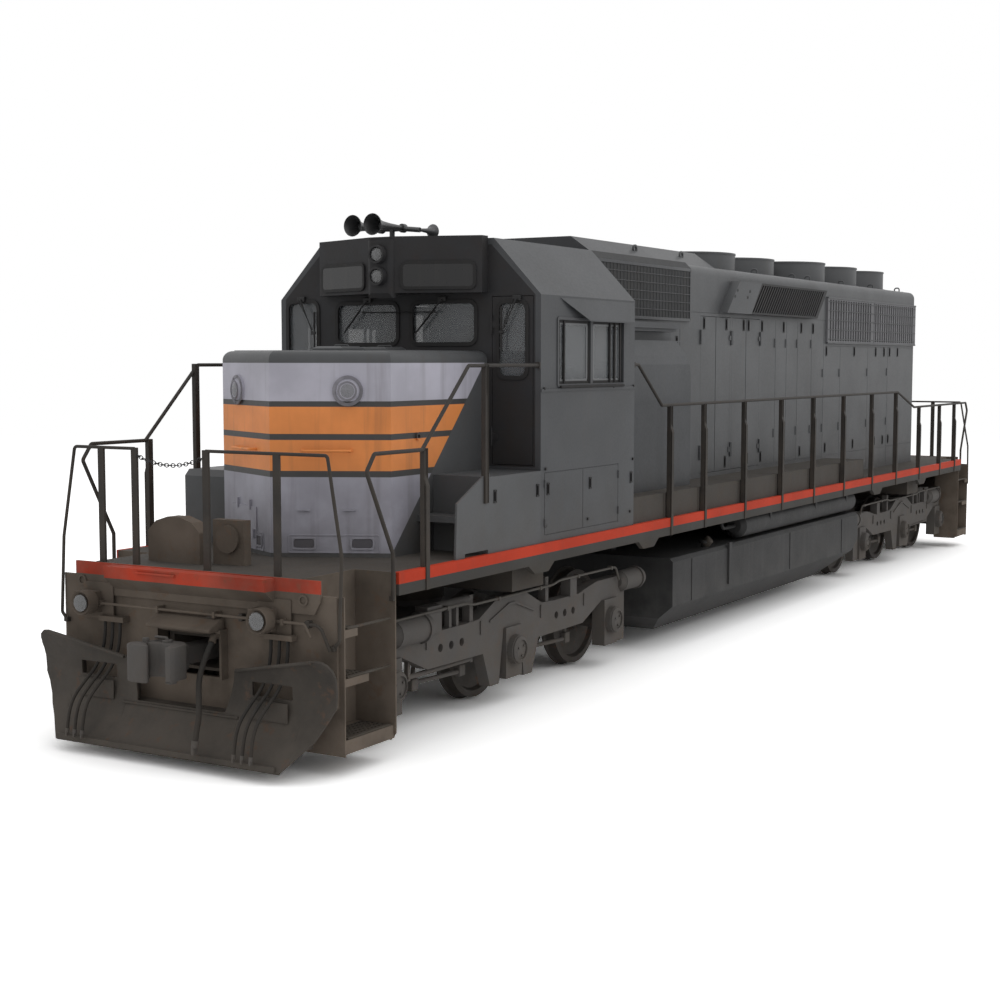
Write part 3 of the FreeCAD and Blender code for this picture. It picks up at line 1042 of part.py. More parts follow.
def roof_gear():
    """Dynamic brake housings, grilles, intake screens, roof hatch, fans, stack, blower and duct."""
    blister = brake_housing()
    node("brake_housings", together("brake_housings", blister, flipped(blister)))
    grille = radiator_grille()
    slope = "0.586 * RoofRadius"
    screen = slab("intake_screen", "YZ",
                  (("HoodHalf", 3750), ("HoodHalf + 20", 3750), ("HoodHalf + 20", f"HoodTop - {slope} + 8"),
                   (f"HoodHalf - {slope} + 8", "HoodTop + 20"), (f"HoodHalf - {slope} - 60", "HoodTop + 20"),
                   (f"HoodHalf - {slope} - 60", "HoodTop"), (f"HoodHalf - {slope} + 4", "HoodTop"),
                   ("HoodHalf", f"HoodTop - {slope} + 4")), 1600, "CabRear - 10")
    node("hood_grilles", together("hood_grilles", grille, screen, flipped(grille), flipped(screen)))
    pieces = [fan_housing(x, top, f"fan_{number}") for number, (x, top) in
              enumerate(((-360, "BrakeFanTop"), (-1790, "BrakeFanTop"), (-3930, "FanTop"), (-5440, "FanTop"),
                         (-6850, "FanTop")), 1)]
    hatch = slab("roof_hatch", "YZ",
                 (("-HatchHalf", "HoodTop"), ("HatchHalf", "HoodTop"), ("HatchHalf - 300", "HatchTop"),
                  ("300 - HatchHalf", "HatchTop")), "HatchRear", "HatchFront")
    rings = [ring("lifting_ring", "y", (x, y - 11, 4585), 52, 30, 22) for x in (1050, 2370) for y in (-574, 574)]
    joints = [block("hatch_seam", (x - 5, x + 5), (-900, 900), ("HatchTop - 12", "HatchTop + 10"))
              for x in (1480, 2600)]
    pieces.append(fuse("hatch", cut("hatch_top", hatch, *joints), *rings))
    pieces.append(cut("stack", fuse("stack_out", drum("stack_pipe", "z", (-2960, 0, "HoodTop"), 225, 250),
                                    drum("stack_foot", "z", (-2960, 0, "HoodTop"), 255, 30)),
                      drum("stack_bore", "z", (-2960, 0, "HoodTop + 60"), 210, 250)))
    node("roof_housings", together("roof_housings", *pieces))
    blower = slab("blower_case", "YZ",
                  (("HoodHalf", "DuctTop"), ("BlowerHalf", "DuctTop"), ("BlowerHalf", "BlowerHead - 320"),
                   ("BlowerHalf - 30", "BlowerHead - 230"), ("BlowerHalf - 110", "BlowerHead - 50"),
                   ("HoodHalf + 60", "BlowerHead - 50"), ("HoodHalf + 60", "BlowerHead + 50"),
                   ("BlowerHalf - 110", "BlowerHead + 50"), ("BlowerHalf - 110", "BlowerHead + 85"),
                   ("BlowerHalf - 60", "BlowerHead + 85"), ("BlowerHalf - 60", "BlowerHead + 150"),
                   ("HoodHalf", "BlowerHead + 150")), "BlowerRear", "BlowerFront")
    ends = [block("ledge_end", (low, high), ("HoodHalf + 60", "BlowerHalf + 10"), ("BlowerHead + 40", "BlowerHead + 160"))
            for low, high in (("BlowerRear - 10", "BlowerRear + 180"), ("BlowerFront - 70", "BlowerFront + 10"))]
    tail = slab("curved_tail", "XZ",
                (("BlowerRear - 10", "BlowerHead - 60"), ("BlowerRear + 170", "BlowerHead - 60"),
                 ("BlowerRear + 60", "BlowerHead - 200"), ("BlowerRear + 10", "BlowerHead - 420"),
                 ("BlowerRear - 10", "BlowerHead - 600")), "HoodHalf + 60", "BlowerHalf + 10")
    node("blower_housing", cut("blower_housing", blower, *ends, tail))
    duct = block("duct", ("-DuctRear", "CabRear - 8"), ("HoodHalf", "DuctHalf"), ("SillTop", "DuctTop"))
    joints = []
    for x in (3500, 2570, 1350, 90, -1110, -2360):
        joints += [block("duct_seam", (x, f"{x} + SeamWidth"), ("DuctHalf - SeamDepth", "DuctHalf + 10"),
                         ("SillTop - 10", "DuctTop + 10")),
                   block("duct_lid", (x, f"{x} + SeamWidth"), ("HoodHalf + 20", "DuctHalf + 10"),
                         ("DuctTop - SeamDepth", "DuctTop + 10"))]
    node("walkway_duct", cut("walkway_duct", duct, *joints))
    node("engine_block", fuse("engine_block",
                              block("engine", (-3200, 1200), (-600, 600), ("SillTop", 3300)),
                              block("generator", (1190, 2900), (-550, 550), ("SillTop", 2900))))


# ---------------------------------------------------------------- bogies
# half outline of a side frame from its middle to an end: along, height
FRAME_TOP = ((250, "AxleZ + 527"), (600, "AxleZ + 367"), (850, "AxleZ + 357"), (1380, "AxleZ + 357"),
             (1510, "AxleZ + 387"), (1790, "AxleZ + 437"))
FRAME_FOOT = ((1900, "ArchTop"), (1470, "AxleZ + 42"), (530, "AxleZ + 32"), (400, "BoxFoot - 30"),
              (240, "BoxFoot - 30"), (150, "ArchTop"))


def side_castings(x):
    """Return what stands on one side frame: cylinders, bracket boxes, posts, ribs and tie bar."""
    out = "BogieOutside"

    def along(a, b):
        return f"min({x(a)}; {x(b)})", f"max({x(a)}; {x(b)})"

    def pipe(name, points, radius, bend):
        return tube(name, [(x(u), f"BogieOutside + {v}", f"AxleZ + {w}") for u, v, w in points], radius, bend)

    parts = []
    for low, high, z, radius in ((1500, 2000, 425, 125), (-2800, -2350, 372, 112)):
        first, last = along(low, high)
        parts += [drum("brake_cylinder", "x", (first, f"{out} - 20", f"AxleZ + {z}"), radius, f"({last}) - ({first})"),
                  bell("cylinder_end", "x", (last if x(1) > x(0) else f"{last}", f"{out} - 20", f"AxleZ + {z}"),
                       radius - 5, radius - 50, 50),
                  ring("cylinder_flange", "x", (f"{first} + 60", f"{out} - 20", f"AxleZ + {z}"), radius + 16,
                       radius - 4, 22)]
    for low, high, foot, head, inner, outer in (
            (1270, 1500, 350, 595, -110, 20), (690, 750, 350, 610, -90, -10), (-750, -690, 350, 610, -90, -10),
            (-1320, -1180, 350, 540, -100, 10), (940, 980, 350, 560, -60, -10), (1060, 1100, 350, 560, -60, -10)):
        parts.append(block("bracket", along(low, high), (f"{out} + {inner}", f"{out} + {outer}"),
                           (f"AxleZ + {foot}", f"AxleZ + {head}")))
    parts.append(pipe("bracket_tube", ((1280, -50, 560), (745, -50, 560)), 48, 20))
    parts.append(slab("rib", "XZ", ((x(-420), "AxleZ + 330"), (x(-60), "AxleZ + 452"), (x(60), "AxleZ + 452"),
                                    (x(420), "AxleZ + 330"), (x(420), "AxleZ + 312"), (x(60), "AxleZ + 430"),
                                    (x(-60), "AxleZ + 430"), (x(-420), "AxleZ + 312")), out, f"{out} + 16"))
    parts += [block("foot_rib", along(u, u + 24 if u > 0 else u - 24), (out, f"{out} + 14"), ("ArchTop", f"AxleZ + {top}"))
              for u, top in ((560, 350), (-560, 350), (1480, 350), (-1480, 350))]
    parts.append(pipe("tie_bar", ((1700, -70, 0), (640, -70, 0)), 24, 20))
    parts += [block("tie_hanger", along(u - 20, u + 20), (f"{out} - 90", f"{out} - 50"), ("AxleZ - 30", "ArchTop + 20"))
              for u in (1690, 650)]
    return parts


def bogie(end, name):
    """Cast side frames with pedestals, transoms, centre bearing and axle boxes."""
    def x(text):
        return f"{end} * (BogieX + ({text}))"

    ends = {1: "BogieFront", -1: "BogieRear"}
    outline = [(x(f"-({u})"), v) for u, v in reversed(FRAME_FOOT)]
    outline += [(x(f"-AxlePitch - 150"), "ArchTop"), (x("-AxlePitch - 150"), "BoxFoot"),
                (x(f"-({ends[-1]})"), "BoxFoot"), (x(f"-({ends[-1]})"), "AxleZ + 437")]
    outline += [(x(f"-({u})"), v) for u, v in reversed(FRAME_TOP)] + [(x(u), v) for u, v in FRAME_TOP]
    outline += [(x(ends[1]), "AxleZ + 437"), (x(ends[1]), "BoxFoot"), (x("AxlePitch + 150"), "BoxFoot"),
                (x("AxlePitch + 150"), "ArchTop")]
    outline += [(x(u), v) for u, v in FRAME_FOOT]
    frame = slab(name + "_side", "XZ", outline, "BogieOutside - BogieSideThick", "BogieOutside")
    parts = []
    boxes = []
    for axle in (-1, 0, 1):
        low, high = (f"{end} * BogieX + {axle} * AxlePitch - BoxWidth / 2",
                     f"{end} * BogieX + {axle} * AxlePitch + BoxWidth / 2")
        box = fuse("axle_box", block("box", (low, high), ("BogieOutside - BogieSideThick", "BogieOutside + 30"),
                                     ("BoxFoot", "ArchTop")),
                   drum("box_cap", "y", (f"({low} + {high}) / 2", "BogieOutside", "AxleZ"),
                        "140", "BoxProud"))
        bore = drum("journal_bore", "y", (f"({low} + {high}) / 2", "BogieOutside - BogieSideThick - 5",
                                          "AxleZ"), "JournalRadius + RunningGap",
                    "JournalEnd - BogieOutside + BogieSideThick + 5 + RunningGap")
        boxes.append(cut("axle_box_bored", box, bore))
    holes = [drum("frame_hole", "y", (x(f"{side} * {u}"), "BogieOutside - BogieSideThick - 10", "AxleZ + 202"),
                  38, "BogieSideThick + 20") for side in (-1, 1) for u in (900, 1080, 1260)]
    castings = side_castings(x)
    cast = fuse(name + "_cylinders", frame, *castings[:6])
    cast = fuse(name + "_brackets", cast, *castings[6:13])
    cast = fuse(name + "_cast", cast, *castings[13:])
    side = cut(name + "_holed", cast, *holes)
    for middle in (1034, -1034):
        parts.append(block("transom", (f"{x(middle)} - 90", f"{x(middle)} + 90"),
                           ("BogieSideThick - BogieOutside - 20", "BogieOutside - BogieSideThick + 20"),
                           ("AxleZ + 107", "AxleZ + 267")))
    rail = fuse("bearing_rail", block("rail", (f"{x(0)} - 1034", f"{x(0)} + 1034"), (-560, 560),
                                      ("AxleZ + 267", "AxleZ + 367")),
                drum("bearing_ring", "z", (x(0), 0, "AxleZ + 267"), "PivotRadius * 2.2", "PivotTop - AxleZ - 267"))
    plate = cut(name + "_plate", rail,
                drum("pin_hole", "z", (x(0), 0, "AxleZ + 167"), "PivotRadius + RunningGap", 400))
    node(name, fuse(name, side, flipped(side), plate, *parts))
    motors = []
    for axle in (-1, 0, 1):
        hub = f"{end} * BogieX + {axle} * {end} * AxlePitch"
        away = -end if axle >= 0 else end
        at = f"{hub} + {away} * 520"
        case = fuse("motor_case", drum("motor", "y", (at, -560, "AxleZ - 33"), 275, 1120),
                    block("gear_arm", (f"min({hub}; {at})", f"max({hub}; {at})"), (-540, 540),
                          ("AxleZ - 103", "AxleZ + 87")),
                    drum("suspension", "y", (hub, -540, "AxleZ"), 165, 1080))
        motors.append(cut("motor_bored", case, drum("axle_bore", "y", (hub, -600, "AxleZ"),
                                                    "AxleRadius + RunningGap", 1200)))
    nose = [(1124, 1280), (-944, -790), (-1290, -1124)]
    noses = [block("motor_nose", (f"min({x(a)}; {x(b)})", f"max({x(a)}; {x(b)})"), (-200, 200),
                   ("AxleZ + 127", "AxleZ + 207"))
             for a, b in nose]
    node(name + "_motors", together(name + "_motors", *(fuse("motor_whole", m, n) for m, n in
                                                        zip((motors[2], motors[1], motors[0]), noses))))
    near = together("near_boxes", *boxes)
    node(name + "_axle_boxes", together(name + "_axle_boxes", near, flipped(near)))


WHEEL_PROFILE = (("0", "0"), ("AxleRadius", "0"), ("AxleRadius", "WheelBack - 40"), ("150", "WheelBack - 20"),
                 ("160", "WheelBack + 40"), ("TreadRadius - 80", "WheelBack + 70"),
                 ("TreadRadius - 60", "WheelBack"), ("TreadRadius + FlangeDepth - 6", "WheelBack"),
                 ("TreadRadius + FlangeDepth", "WheelBack + 14"), ("TreadRadius + 6", "WheelBack + 34"),
                 ("TreadRadius", "WheelBack + 50"), ("TreadRadius - 4", "WheelBack + WheelWidth"),
                 ("TreadRadius - 66", "WheelBack + WheelWidth"), ("TreadRadius - 90", "WheelBack + 100"),
                 ("150", "WheelBack + 90"), ("140", "WheelBack + WheelWidth + 20"),
                 ("AxleRadius", "WheelBack + WheelWidth + 20"), ("AxleRadius", "AxleBoxBack - 20"),
                 ("JournalRadius", "AxleBoxBack"), ("JournalRadius", "JournalEnd"), ("0", "JournalEnd"))


def wheelsets():
    """Six axles, each with its two flanged wheels."""
    number = 0
    for end in (1, -1):
        for axle in (1, 0, -1):
            number += 1
            half = turned(f"half_axle_{number}", WHEEL_PROFILE)
            whole = fuse(f"wheelset_{number}", half, flipped(half))
            moved(whole, x=f"{end} * BogieX + {axle * end} * AxlePitch", z="AxleZ")
            node(f"wheelset_{number}", whole)


# ---------------------------------------------------------------- rails
def stanchion(x, foot, head, plane, width=26, rail="RailY"):
    """Flat post on the outer face of the left sill, set in at its upper part to the rail's plane."""
    low = f"({head} - 300)" if isinstance(head, str) else head - 300
    return slab("stanchion", "YZ",
                ((plane, foot), (f"{plane} + 12", foot), (f"{plane} + 12", low), (f"{rail} + 2", f"{low} + 90"),
                 (f"{rail} + 2", head), (f"{rail} - 10", head), (f"{rail} - 10", f"{low} + 84"), (plane, f"{low} - 6")),
                f"{x} - {width}", f"{x} + {width}")


def side_rail():
    """Long rail of the left side: from the cab along the hood and down to the rear steps, on its posts."""
    top, end = number("RailZ"), number("EndRailZ")
    y, wall = number("RailY"), number("CabHalf") - 23
    rear = -number("SillEnd")
    front = tube("side_rail", ((number("CabRear") - 10, wall, 3240), (4190, wall, 3240), (3650, y, top),
                               (-5000, y, top), (-5900, y, end), (rear - 310, y, end), (rear - 420, y, end - 140),
                               (rear - 55, y, 1720), (rear - 55, y, 1420), (rear - 32, y - 20, 1350)),
                 S.RailRadius, 34)
    pieces = [front, block("cab_lug", ("CabRear - 24", "CabRear"), ("CabHalf - 46", "CabHalf"), (3210, 3270)),
              block("step_lug", ("-SillEnd - 44", "-SillEnd - 14"), ("StepOutside - 20", "StepOutside + 20"),
                    (1330, 1370))]
    pieces += [stanchion(x, "SillTop - SillDepth", "RailZ", "SillHalf")
               for x in (3420, 2490, 1270, 10, -1190, -2440, -3730, -4930)]
    pieces += [stanchion(x, "SillTop - SillDepth", "EndRailZ", "SillHalf") for x in (-6200, -7410, -8340)]
    return fuse("side_rail_whole", *pieces)


def nose_rail(post, foot):
    """Rail of the left side from the cab past the short hood down to the front steps, on its posts."""
    high, end = number("NoseRailZ"), number("EndRailZ")
    y, wall = number("RailY"), number("CabHalf") - 23
    front = number("SillEnd")
    bar = tube("nose_rail", ((number("CabFront") + 10, wall, high), (6500, wall, high), (7640, wall + 27, high),
                             (8380, y, end), (front + 310, y, end), (front + 420, y, end - 140),
                             (front + 55, y, 1720), (front + 55, y, 1420), (front + 32, y - 20, 1350)),
               S.RailRadius, 34)
    return fuse("nose_rail_whole", bar,
                block("front_lug", ("CabFront", "CabFront + 24"), ("CabHalf - 46", "CabHalf"), (3210, 3270)),
                block("front_step_lug", ("SillEnd + 14", "SillEnd + 44"), ("StepOutside - 20", "StepOutside + 20"),
                      (1330, 1370)),
                stanchion("8340", "SillTop - SillDepth", "EndRailZ", "SillHalf"),
                stanchion(str(post), foot, "NoseRailZ", "CabHalf", 20, "(CabHalf + 4)"))


def corner_rail(end, side, first, second):
    """Rail of one end platform's side: along the end, out round the corner and down to the pilot."""
    high = number("EndRailZ")
    x = number("RailX")

    def wide(a, b):
        return (a, b) if side > 0 else (-b, -a)

    def deep(a, b):
        return (a, b) if end > 0 else (f"-({b})", f"-({a})")

    bar = tube("corner_rail", [(end * u, side * v, w) for u, v, w in
                               ((x, first, high), (x, 1350, high), (x + 12, 1490, 1760), (x + 52, 1490, 1100),
                                (x + 50, 1436, 1040))], S.RailRadius - 3, 34)
    posts = [block("end_post", deep("RailX - 12", "RailX + 12"), wide(y - 32, y + 32), ("SillTop", f"EndRailZ + {top}"))
             for y, top in ((first, 8), (second, 4))]
    lug = block("pilot_lug", deep("PilotFace", "PilotFace + 44"), wide(1410, 1449), (1020, 1060))
    return fuse("corner_rail_whole", bar, lug, *posts)


def handrails():
    """Rails along both sides and round both end platforms."""
    side = side_rail()
    left = nose_rail(7350, 2020)
    right = flipped(nose_rail(7680, 1900))
    node("side_handrails", together("side_handrails", side, flipped(side), left, right))
    node("end_handrails", together("end_handrails", *(
        corner_rail(end, side, *posts) for end in (1, -1) for side, posts in ((1, (120, 850)), (-1, (660, 1040))))))


def main():
    """Build every sub-part, check it and write its file."""
    underframe()
    node("front_pilot", pilot(1, "front_pilot"))
    node("rear_pilot", pilot(-1, "rear_pilot"))
    snow_plow()
    front_hoses()
    coupler(1, "front_coupler")
    coupler(-1, "rear_coupler")
    tank()
    cab()
    short_hood()
    light_box()
    horn()
    long_hood()
    roof_gear()
    bogie(1, "front_bogie")
    bogie(-1, "rear_bogie")
    wheelsets()
    handrails()
    DOC.recompute()
    for thing in DOC.Objects:
        if "Invalid" in thing.State or "Error" in thing.State:
            raise RuntimeError(f"{thing.Name} failed: {thing.State}")
    os.makedirs("parts", exist_ok=True)
    for name, part in NODES.items():
        shape = part.Shape
        if shape.isNull() or not shape.isValid() or not shape.Solids:
            raise RuntimeError(f"{name} has no valid shape")
        shape.exportStep(f"parts/{name}.step")
        print(name, len(shape.Solids), round(shape.Volume / 1e9, 4))


main()
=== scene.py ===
"""Finishes, small fittings, floor, lights and camera of a six-axle diesel road switcher.

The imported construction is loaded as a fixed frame, in metres: +X towards the short hood, +Y to the left
side and +Z up. Each finish is a small class that builds one procedural material. Each sub-assembly is a
class that dresses its construction nodes and adds its fittings.
"""
import logging
import math
from dataclasses import dataclass
from enum import Enum
from typing import Callable, Sequence

import bpy
from mathutils import Matrix, Vector


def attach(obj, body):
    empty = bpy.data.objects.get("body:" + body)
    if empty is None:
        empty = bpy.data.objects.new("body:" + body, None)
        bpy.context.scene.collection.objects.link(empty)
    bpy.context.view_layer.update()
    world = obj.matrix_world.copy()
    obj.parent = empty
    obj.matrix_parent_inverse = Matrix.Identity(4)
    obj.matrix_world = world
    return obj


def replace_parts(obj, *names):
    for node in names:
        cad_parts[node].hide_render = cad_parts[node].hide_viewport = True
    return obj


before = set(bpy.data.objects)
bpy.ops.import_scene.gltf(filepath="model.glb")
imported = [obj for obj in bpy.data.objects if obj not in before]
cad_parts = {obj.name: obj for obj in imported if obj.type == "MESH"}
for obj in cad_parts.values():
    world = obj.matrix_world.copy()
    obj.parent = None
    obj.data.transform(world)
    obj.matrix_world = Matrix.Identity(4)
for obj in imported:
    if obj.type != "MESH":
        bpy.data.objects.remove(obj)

LOG = logging.getLogger("locomotive")
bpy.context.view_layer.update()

Colour = tuple[float, float, float]
Point = tuple[float, float, float]
Pair = tuple[float, float]
Pairs = tuple[Pair, ...]
Thing = bpy.types.Object
Socket = bpy.types.NodeSocket
SIDES = ((1, "left"), (-1, "right"))


class Axis(Enum):
    """One of the three axes of the shared frame."""

    X = 0
    Y = 1
    Z = 2


# ---------------------------------------------------------------- finishes
class Nodes:
    """A node tree with short ways to add its nodes."""

    def __init__(self, tree: bpy.types.NodeTree) -> None:
        """Take over a tree."""
        self.tree = tree

    def add(self, kind: str, *inputs: object, **settings: object) -> bpy.types.Node:
        """Add a node.

        Args:
            kind: Type name of the node.
            inputs: Values or sockets for its inputs in order; None leaves one as it is.
            settings: Attributes of the node.

        Returns:
            The new node.
        """
        node = self.tree.nodes.new(kind)
        for name, value in settings.items():
            setattr(node, name, value)
        for number, value in enumerate(inputs):
            self.feed(node.inputs[number], value)
        return node

    def feed(self, socket: Socket, value: object) -> None:
        """Link or set one input.

        Args:
            socket: The input.
            value: A socket, a number, a colour or None.
        """
        if isinstance(value, Socket):
            self.tree.links.new(value, socket)
        elif value is not None:
            if isinstance(value, tuple) and len(value) == 3 and len(socket.default_value) == 4:
                value = (*value, 1.0)
            socket.default_value = value

    def math(self, operation: str, *values: object, clamp: bool = False) -> Socket:
        """Return the result of a Math node on the given values."""
        return self.add("ShaderNodeMath", *values, operation=operation, use_clamp=clamp).outputs[0]

    def end(self, name: str, shader: bpy.types.Node) -> None:
        """Link a shader to the tree's output of that name."""
        self.feed(self.tree.nodes[name].inputs["Surface"], shader.outputs[0])


class Graph(Nodes):
    """The node tree of one material."""

    def __init__(self, name: str) -> None:
        """Start a material whose only node is its shader."""
        self.material = bpy.data.materials.new(name)
        self.material.use_nodes = True
        super().__init__(self.material.node_tree)
        self.shader = self.tree.nodes["Principled BSDF"]
        self.place = self.add("ShaderNodeTexCoord").outputs["Object"]
        parts = self.add("ShaderNodeSeparateXYZ", self.place)
        self.axes = {axis: parts.outputs[axis.value] for axis in Axis}

    def set(self, **inputs: object) -> None:
        """Feed inputs of the shader by name, with _ for a space."""
        for name, value in inputs.items():
            self.feed(self.shader.inputs[name.replace("_", " ")], value)

    def smooth(self, value: object, low: float, high: float) -> Socket:
        """Return 0 below low, 1 above high and a smooth rise between; low may be above high."""
        step = self.add("ShaderNodeMapRange", value, low, high, 0.0, 1.0,
                        interpolation_type="SMOOTHSTEP")
        return step.outputs[0]

    def noise(self, scale: float, detail: float = 4.0, stretch: Point = (1, 1, 1),
              rough: float = 0.55) -> Socket:
        """Return a noise value between 0 and 1.

        Args:
            scale: Blotches per metre.
            detail: Octaves.
            stretch: Factor on the scale along each axis.
            rough: Strength of the finer octaves.

        Returns:
            The noise socket.
        """
        mapped = self.add("ShaderNodeMapping", self.place, None, None, stretch)
        return self.add("ShaderNodeTexNoise", mapped.outputs[0], None, scale, detail, rough).outputs[0]

    def mix(self, share: object, first: object, second: object) -> Socket:
        """Return a blend of two colours.

        Args:
            share: Share of the second colour.
            first: The first colour.
            second: The second one.

        Returns:
            The colour socket.
        """
        node = self.tree.nodes.new("ShaderNodeMix")
        node.data_type = "RGBA"
        for name, value in (("Factor_Float", share), ("A_Color", first), ("B_Color", second)):
            self.feed(next(s for s in node.inputs if s.identifier == name), value)
        return next(s for s in node.outputs if s.identifier == "Result_Color")

    def band(self, axis: Axis, low: float, high: float, soft: float) -> Socket:
        """Return 1 between two heights along an axis and 0 outside them."""
        place = self.axes[axis]
        return self.math("MULTIPLY", self.smooth(place, low - soft, low + soft),
                         self.smooth(place, high + soft, high - soft))

    def bump(self, height: Socket, distance: float, strength: float = 1.0) -> None:
        """Raise the surface, on top of any bump already there.

        Args:
            height: Height between 0 and 1.
            distance: What 1 stands for, in metres.
            strength: Strength of the bump.
        """
        node = self.add("ShaderNodeBump", strength, distance)
        self.feed(node.inputs["Height"], height)
        normal = self.shader.inputs["Normal"]
        if normal.is_linked:
            self.feed(node.inputs["Normal"], normal.links[0].from_socket)
        self.tree.links.new(node.outputs[0], normal)


@dataclass(frozen=True)
class Band:
    """A painted stripe between two heights, ahead of a slanting line where it has one, or behind it; the body's band
    along X is painted shade, not a stripe.
    """

    low: float
    high: float
    colour: Colour
    axis: Axis = Axis.Z
    slant: Pair | None = None
    behind: bool = False
    soft: float = 0.002


@dataclass(frozen=True)
class Paint:
    """Painted or bare metal with blotches, road dust, rust and vertical streaks."""

    name: str
    colour: Colour
    roughness: float = 0.55
    metallic: float = 0.0
    specular: float = 0.3
    coat: float = 0.0
    blotch: float = 0.18
    bands: tuple[Band, ...] = ()
    dust: float = 0.25
    dust_colour: Colour = (0.072, 0.060, 0.048)
    dust_foot: float = 1.5
    dust_head: float = 2.3
    dust_all: float = 0.05
    streaks: float = 0.12
    rust: float = 0.0
    rust_colour: Colour = (0.16, 0.065, 0.028)
    pitting: float = 0.0006

    def colours(self, graph: Graph) -> Socket:
        """Return the clean paint's colour, with its stripes, and on the body its band of painted shade.

        Args:
            graph: The material's nodes.

        Returns:
            The colour socket.
        """
        colour: object = self.colour
        for band in self.bands:
            inside = graph.band(band.axis, band.low, band.high, band.soft)
            if band.slant:
                slope, limit = band.slant
                line = graph.math("MULTIPLY_ADD", graph.axes[Axis.Z], slope, graph.axes[Axis.X])
                soft = -0.003 if band.behind else 0.003
                inside = graph.math("MULTIPLY", inside, graph.smooth(line, limit - soft, limit + soft))
            colour = graph.mix(inside, colour, band.colour)
        return colour

    def build(self) -> bpy.types.Material:
        """Make the material.

        Returns:
            The material.
        """
        graph = Graph(self.name)
        base = self.colours(graph)
        broad = graph.noise(1.3, 5.0)
        fine = graph.noise(38.0, 3.0)
        drip = graph.noise(9.0, 4.0, (1, 1, 0.06))
        dark = graph.mix(self.blotch, base, (0.0, 0.0, 0.0))
        base = graph.mix(graph.smooth(broad, 0.35, 0.68), dark, base)
        lines = graph.math("MULTIPLY", graph.smooth(drip, 0.52, 0.74), self.streaks)
        base = graph.mix(lines, base, self.dust_colour)
        low = graph.smooth(graph.axes[Axis.Z], self.dust_head, self.dust_foot)
        cover = graph.math("MULTIPLY", low, self.dust)
        cover = graph.math("ADD", cover, self.dust_all)
        cover = graph.math("MULTIPLY", cover, graph.smooth(graph.noise(4.0, 6.0), 0.15, 0.7), clamp=True)
        base = graph.mix(cover, base, self.dust_colour)
        if self.rust:
            spots = graph.math("MULTIPLY", graph.smooth(graph.noise(7.0, 8.0, rough=0.7), 0.56, 0.66), self.rust)
            base = graph.mix(spots, base, self.rust_colour)
        shine = graph.math("MULTIPLY_ADD", fine, 0.2, self.roughness - 0.1)
        shine = graph.math("MULTIPLY_ADD", cover, 0.3, shine, clamp=True)
        graph.set(Base_Color=base, Roughness=shine, Metallic=self.metallic, Coat_Weight=self.coat,
                  Specular_IOR_Level=self.specular)
        if self.pitting:
            graph.bump(fine, self.pitting, 0.5)
            graph.bump(graph.noise(3.0, 2.0), self.pitting * 6, 0.35)
        return graph.material


@dataclass(frozen=True)
class Glass:
    """Tinted flat glass, partly see-through, with a faint film of dust; the window glass's pale grey is partly its
    tint and partly painted reflection.
    """

    name: str
    # Pale grey raised above the tint: partly the glass's own tint, partly painted reflection of the bright
    # surroundings.
    colour: Colour = (0.158, 0.167, 0.176)
    cover: float = 0.5
    film: Colour = (0.15, 0.148, 0.142)

    def build(self) -> bpy.types.Material:
        """Make the material."""
        graph = Graph(self.name)
        dust = graph.math("MULTIPLY", graph.smooth(graph.noise(3.0, 6.0), 0.4, 0.8), 0.4)
        graph.set(Base_Color=graph.mix(dust, self.colour, self.film),
                  Roughness=graph.math("MULTIPLY_ADD", dust, 0.2, 0.04), Alpha=self.cover, IOR=1.5)
        return graph.material


@dataclass(frozen=True)
class Cloth:
    """Woven seat cloth with a visible thread and a little sheen."""

    name: str
    colour: Colour
    threads: float = 420.0
    worn: Colour = (0.10, 0.095, 0.09)

    def build(self) -> bpy.types.Material:
        """Make the material."""
        graph = Graph(self.name)
        across, along = (graph.math("SINE", graph.math("MULTIPLY", graph.axes[axis], self.threads * math.tau / 2))
                         for axis in (Axis.Y, Axis.X))
        weave = graph.math("MULTIPLY_ADD", graph.math("MULTIPLY", across, along), 0.5, 0.5)
        worn = graph.smooth(graph.noise(9.0, 5.0), 0.4, 0.75)
        base = graph.mix(weave, tuple(0.6 * c for c in self.colour), self.colour)
        graph.set(Base_Color=graph.mix(graph.math("MULTIPLY", worn, 0.4), base, self.worn), Roughness=0.9,
                  Sheen_Weight=0.25)
        graph.bump(weave, 0.0008, 0.8)
        return graph.material


WHITE = (1.0, 1.0, 1.0)
CHARCOAL = (0.085, 0.088, 0.092)
SILVER = (0.49, 0.48, 0.55)
ORANGE = (0.87, 0.30, 0.082)
STRIPE_DARK = (0.060, 0.060, 0.060)
RED = (0.50, 0.047, 0.019)

NOSE_SLANT = (0.943, 9.47)
NOSE_BANDS = (
    # The lowest band is the silver darkened to about four fifths, darker towards the bottom of the nose.
    Band(1.60, 2.268, (0.385, 0.38, 0.44), slant=NOSE_SLANT),
    Band(2.268, 2.322, STRIPE_DARK, slant=NOSE_SLANT),
    Band(2.322, 2.593, ORANGE, slant=NOSE_SLANT),
    Band(2.593, 2.645, STRIPE_DARK, slant=NOSE_SLANT),
    Band(2.645, 2.882, ORANGE, slant=NOSE_SLANT),
    Band(2.882, 2.930, STRIPE_DARK, slant=NOSE_SLANT),
    Band(2.930, 3.262, SILVER, slant=NOSE_SLANT),
)


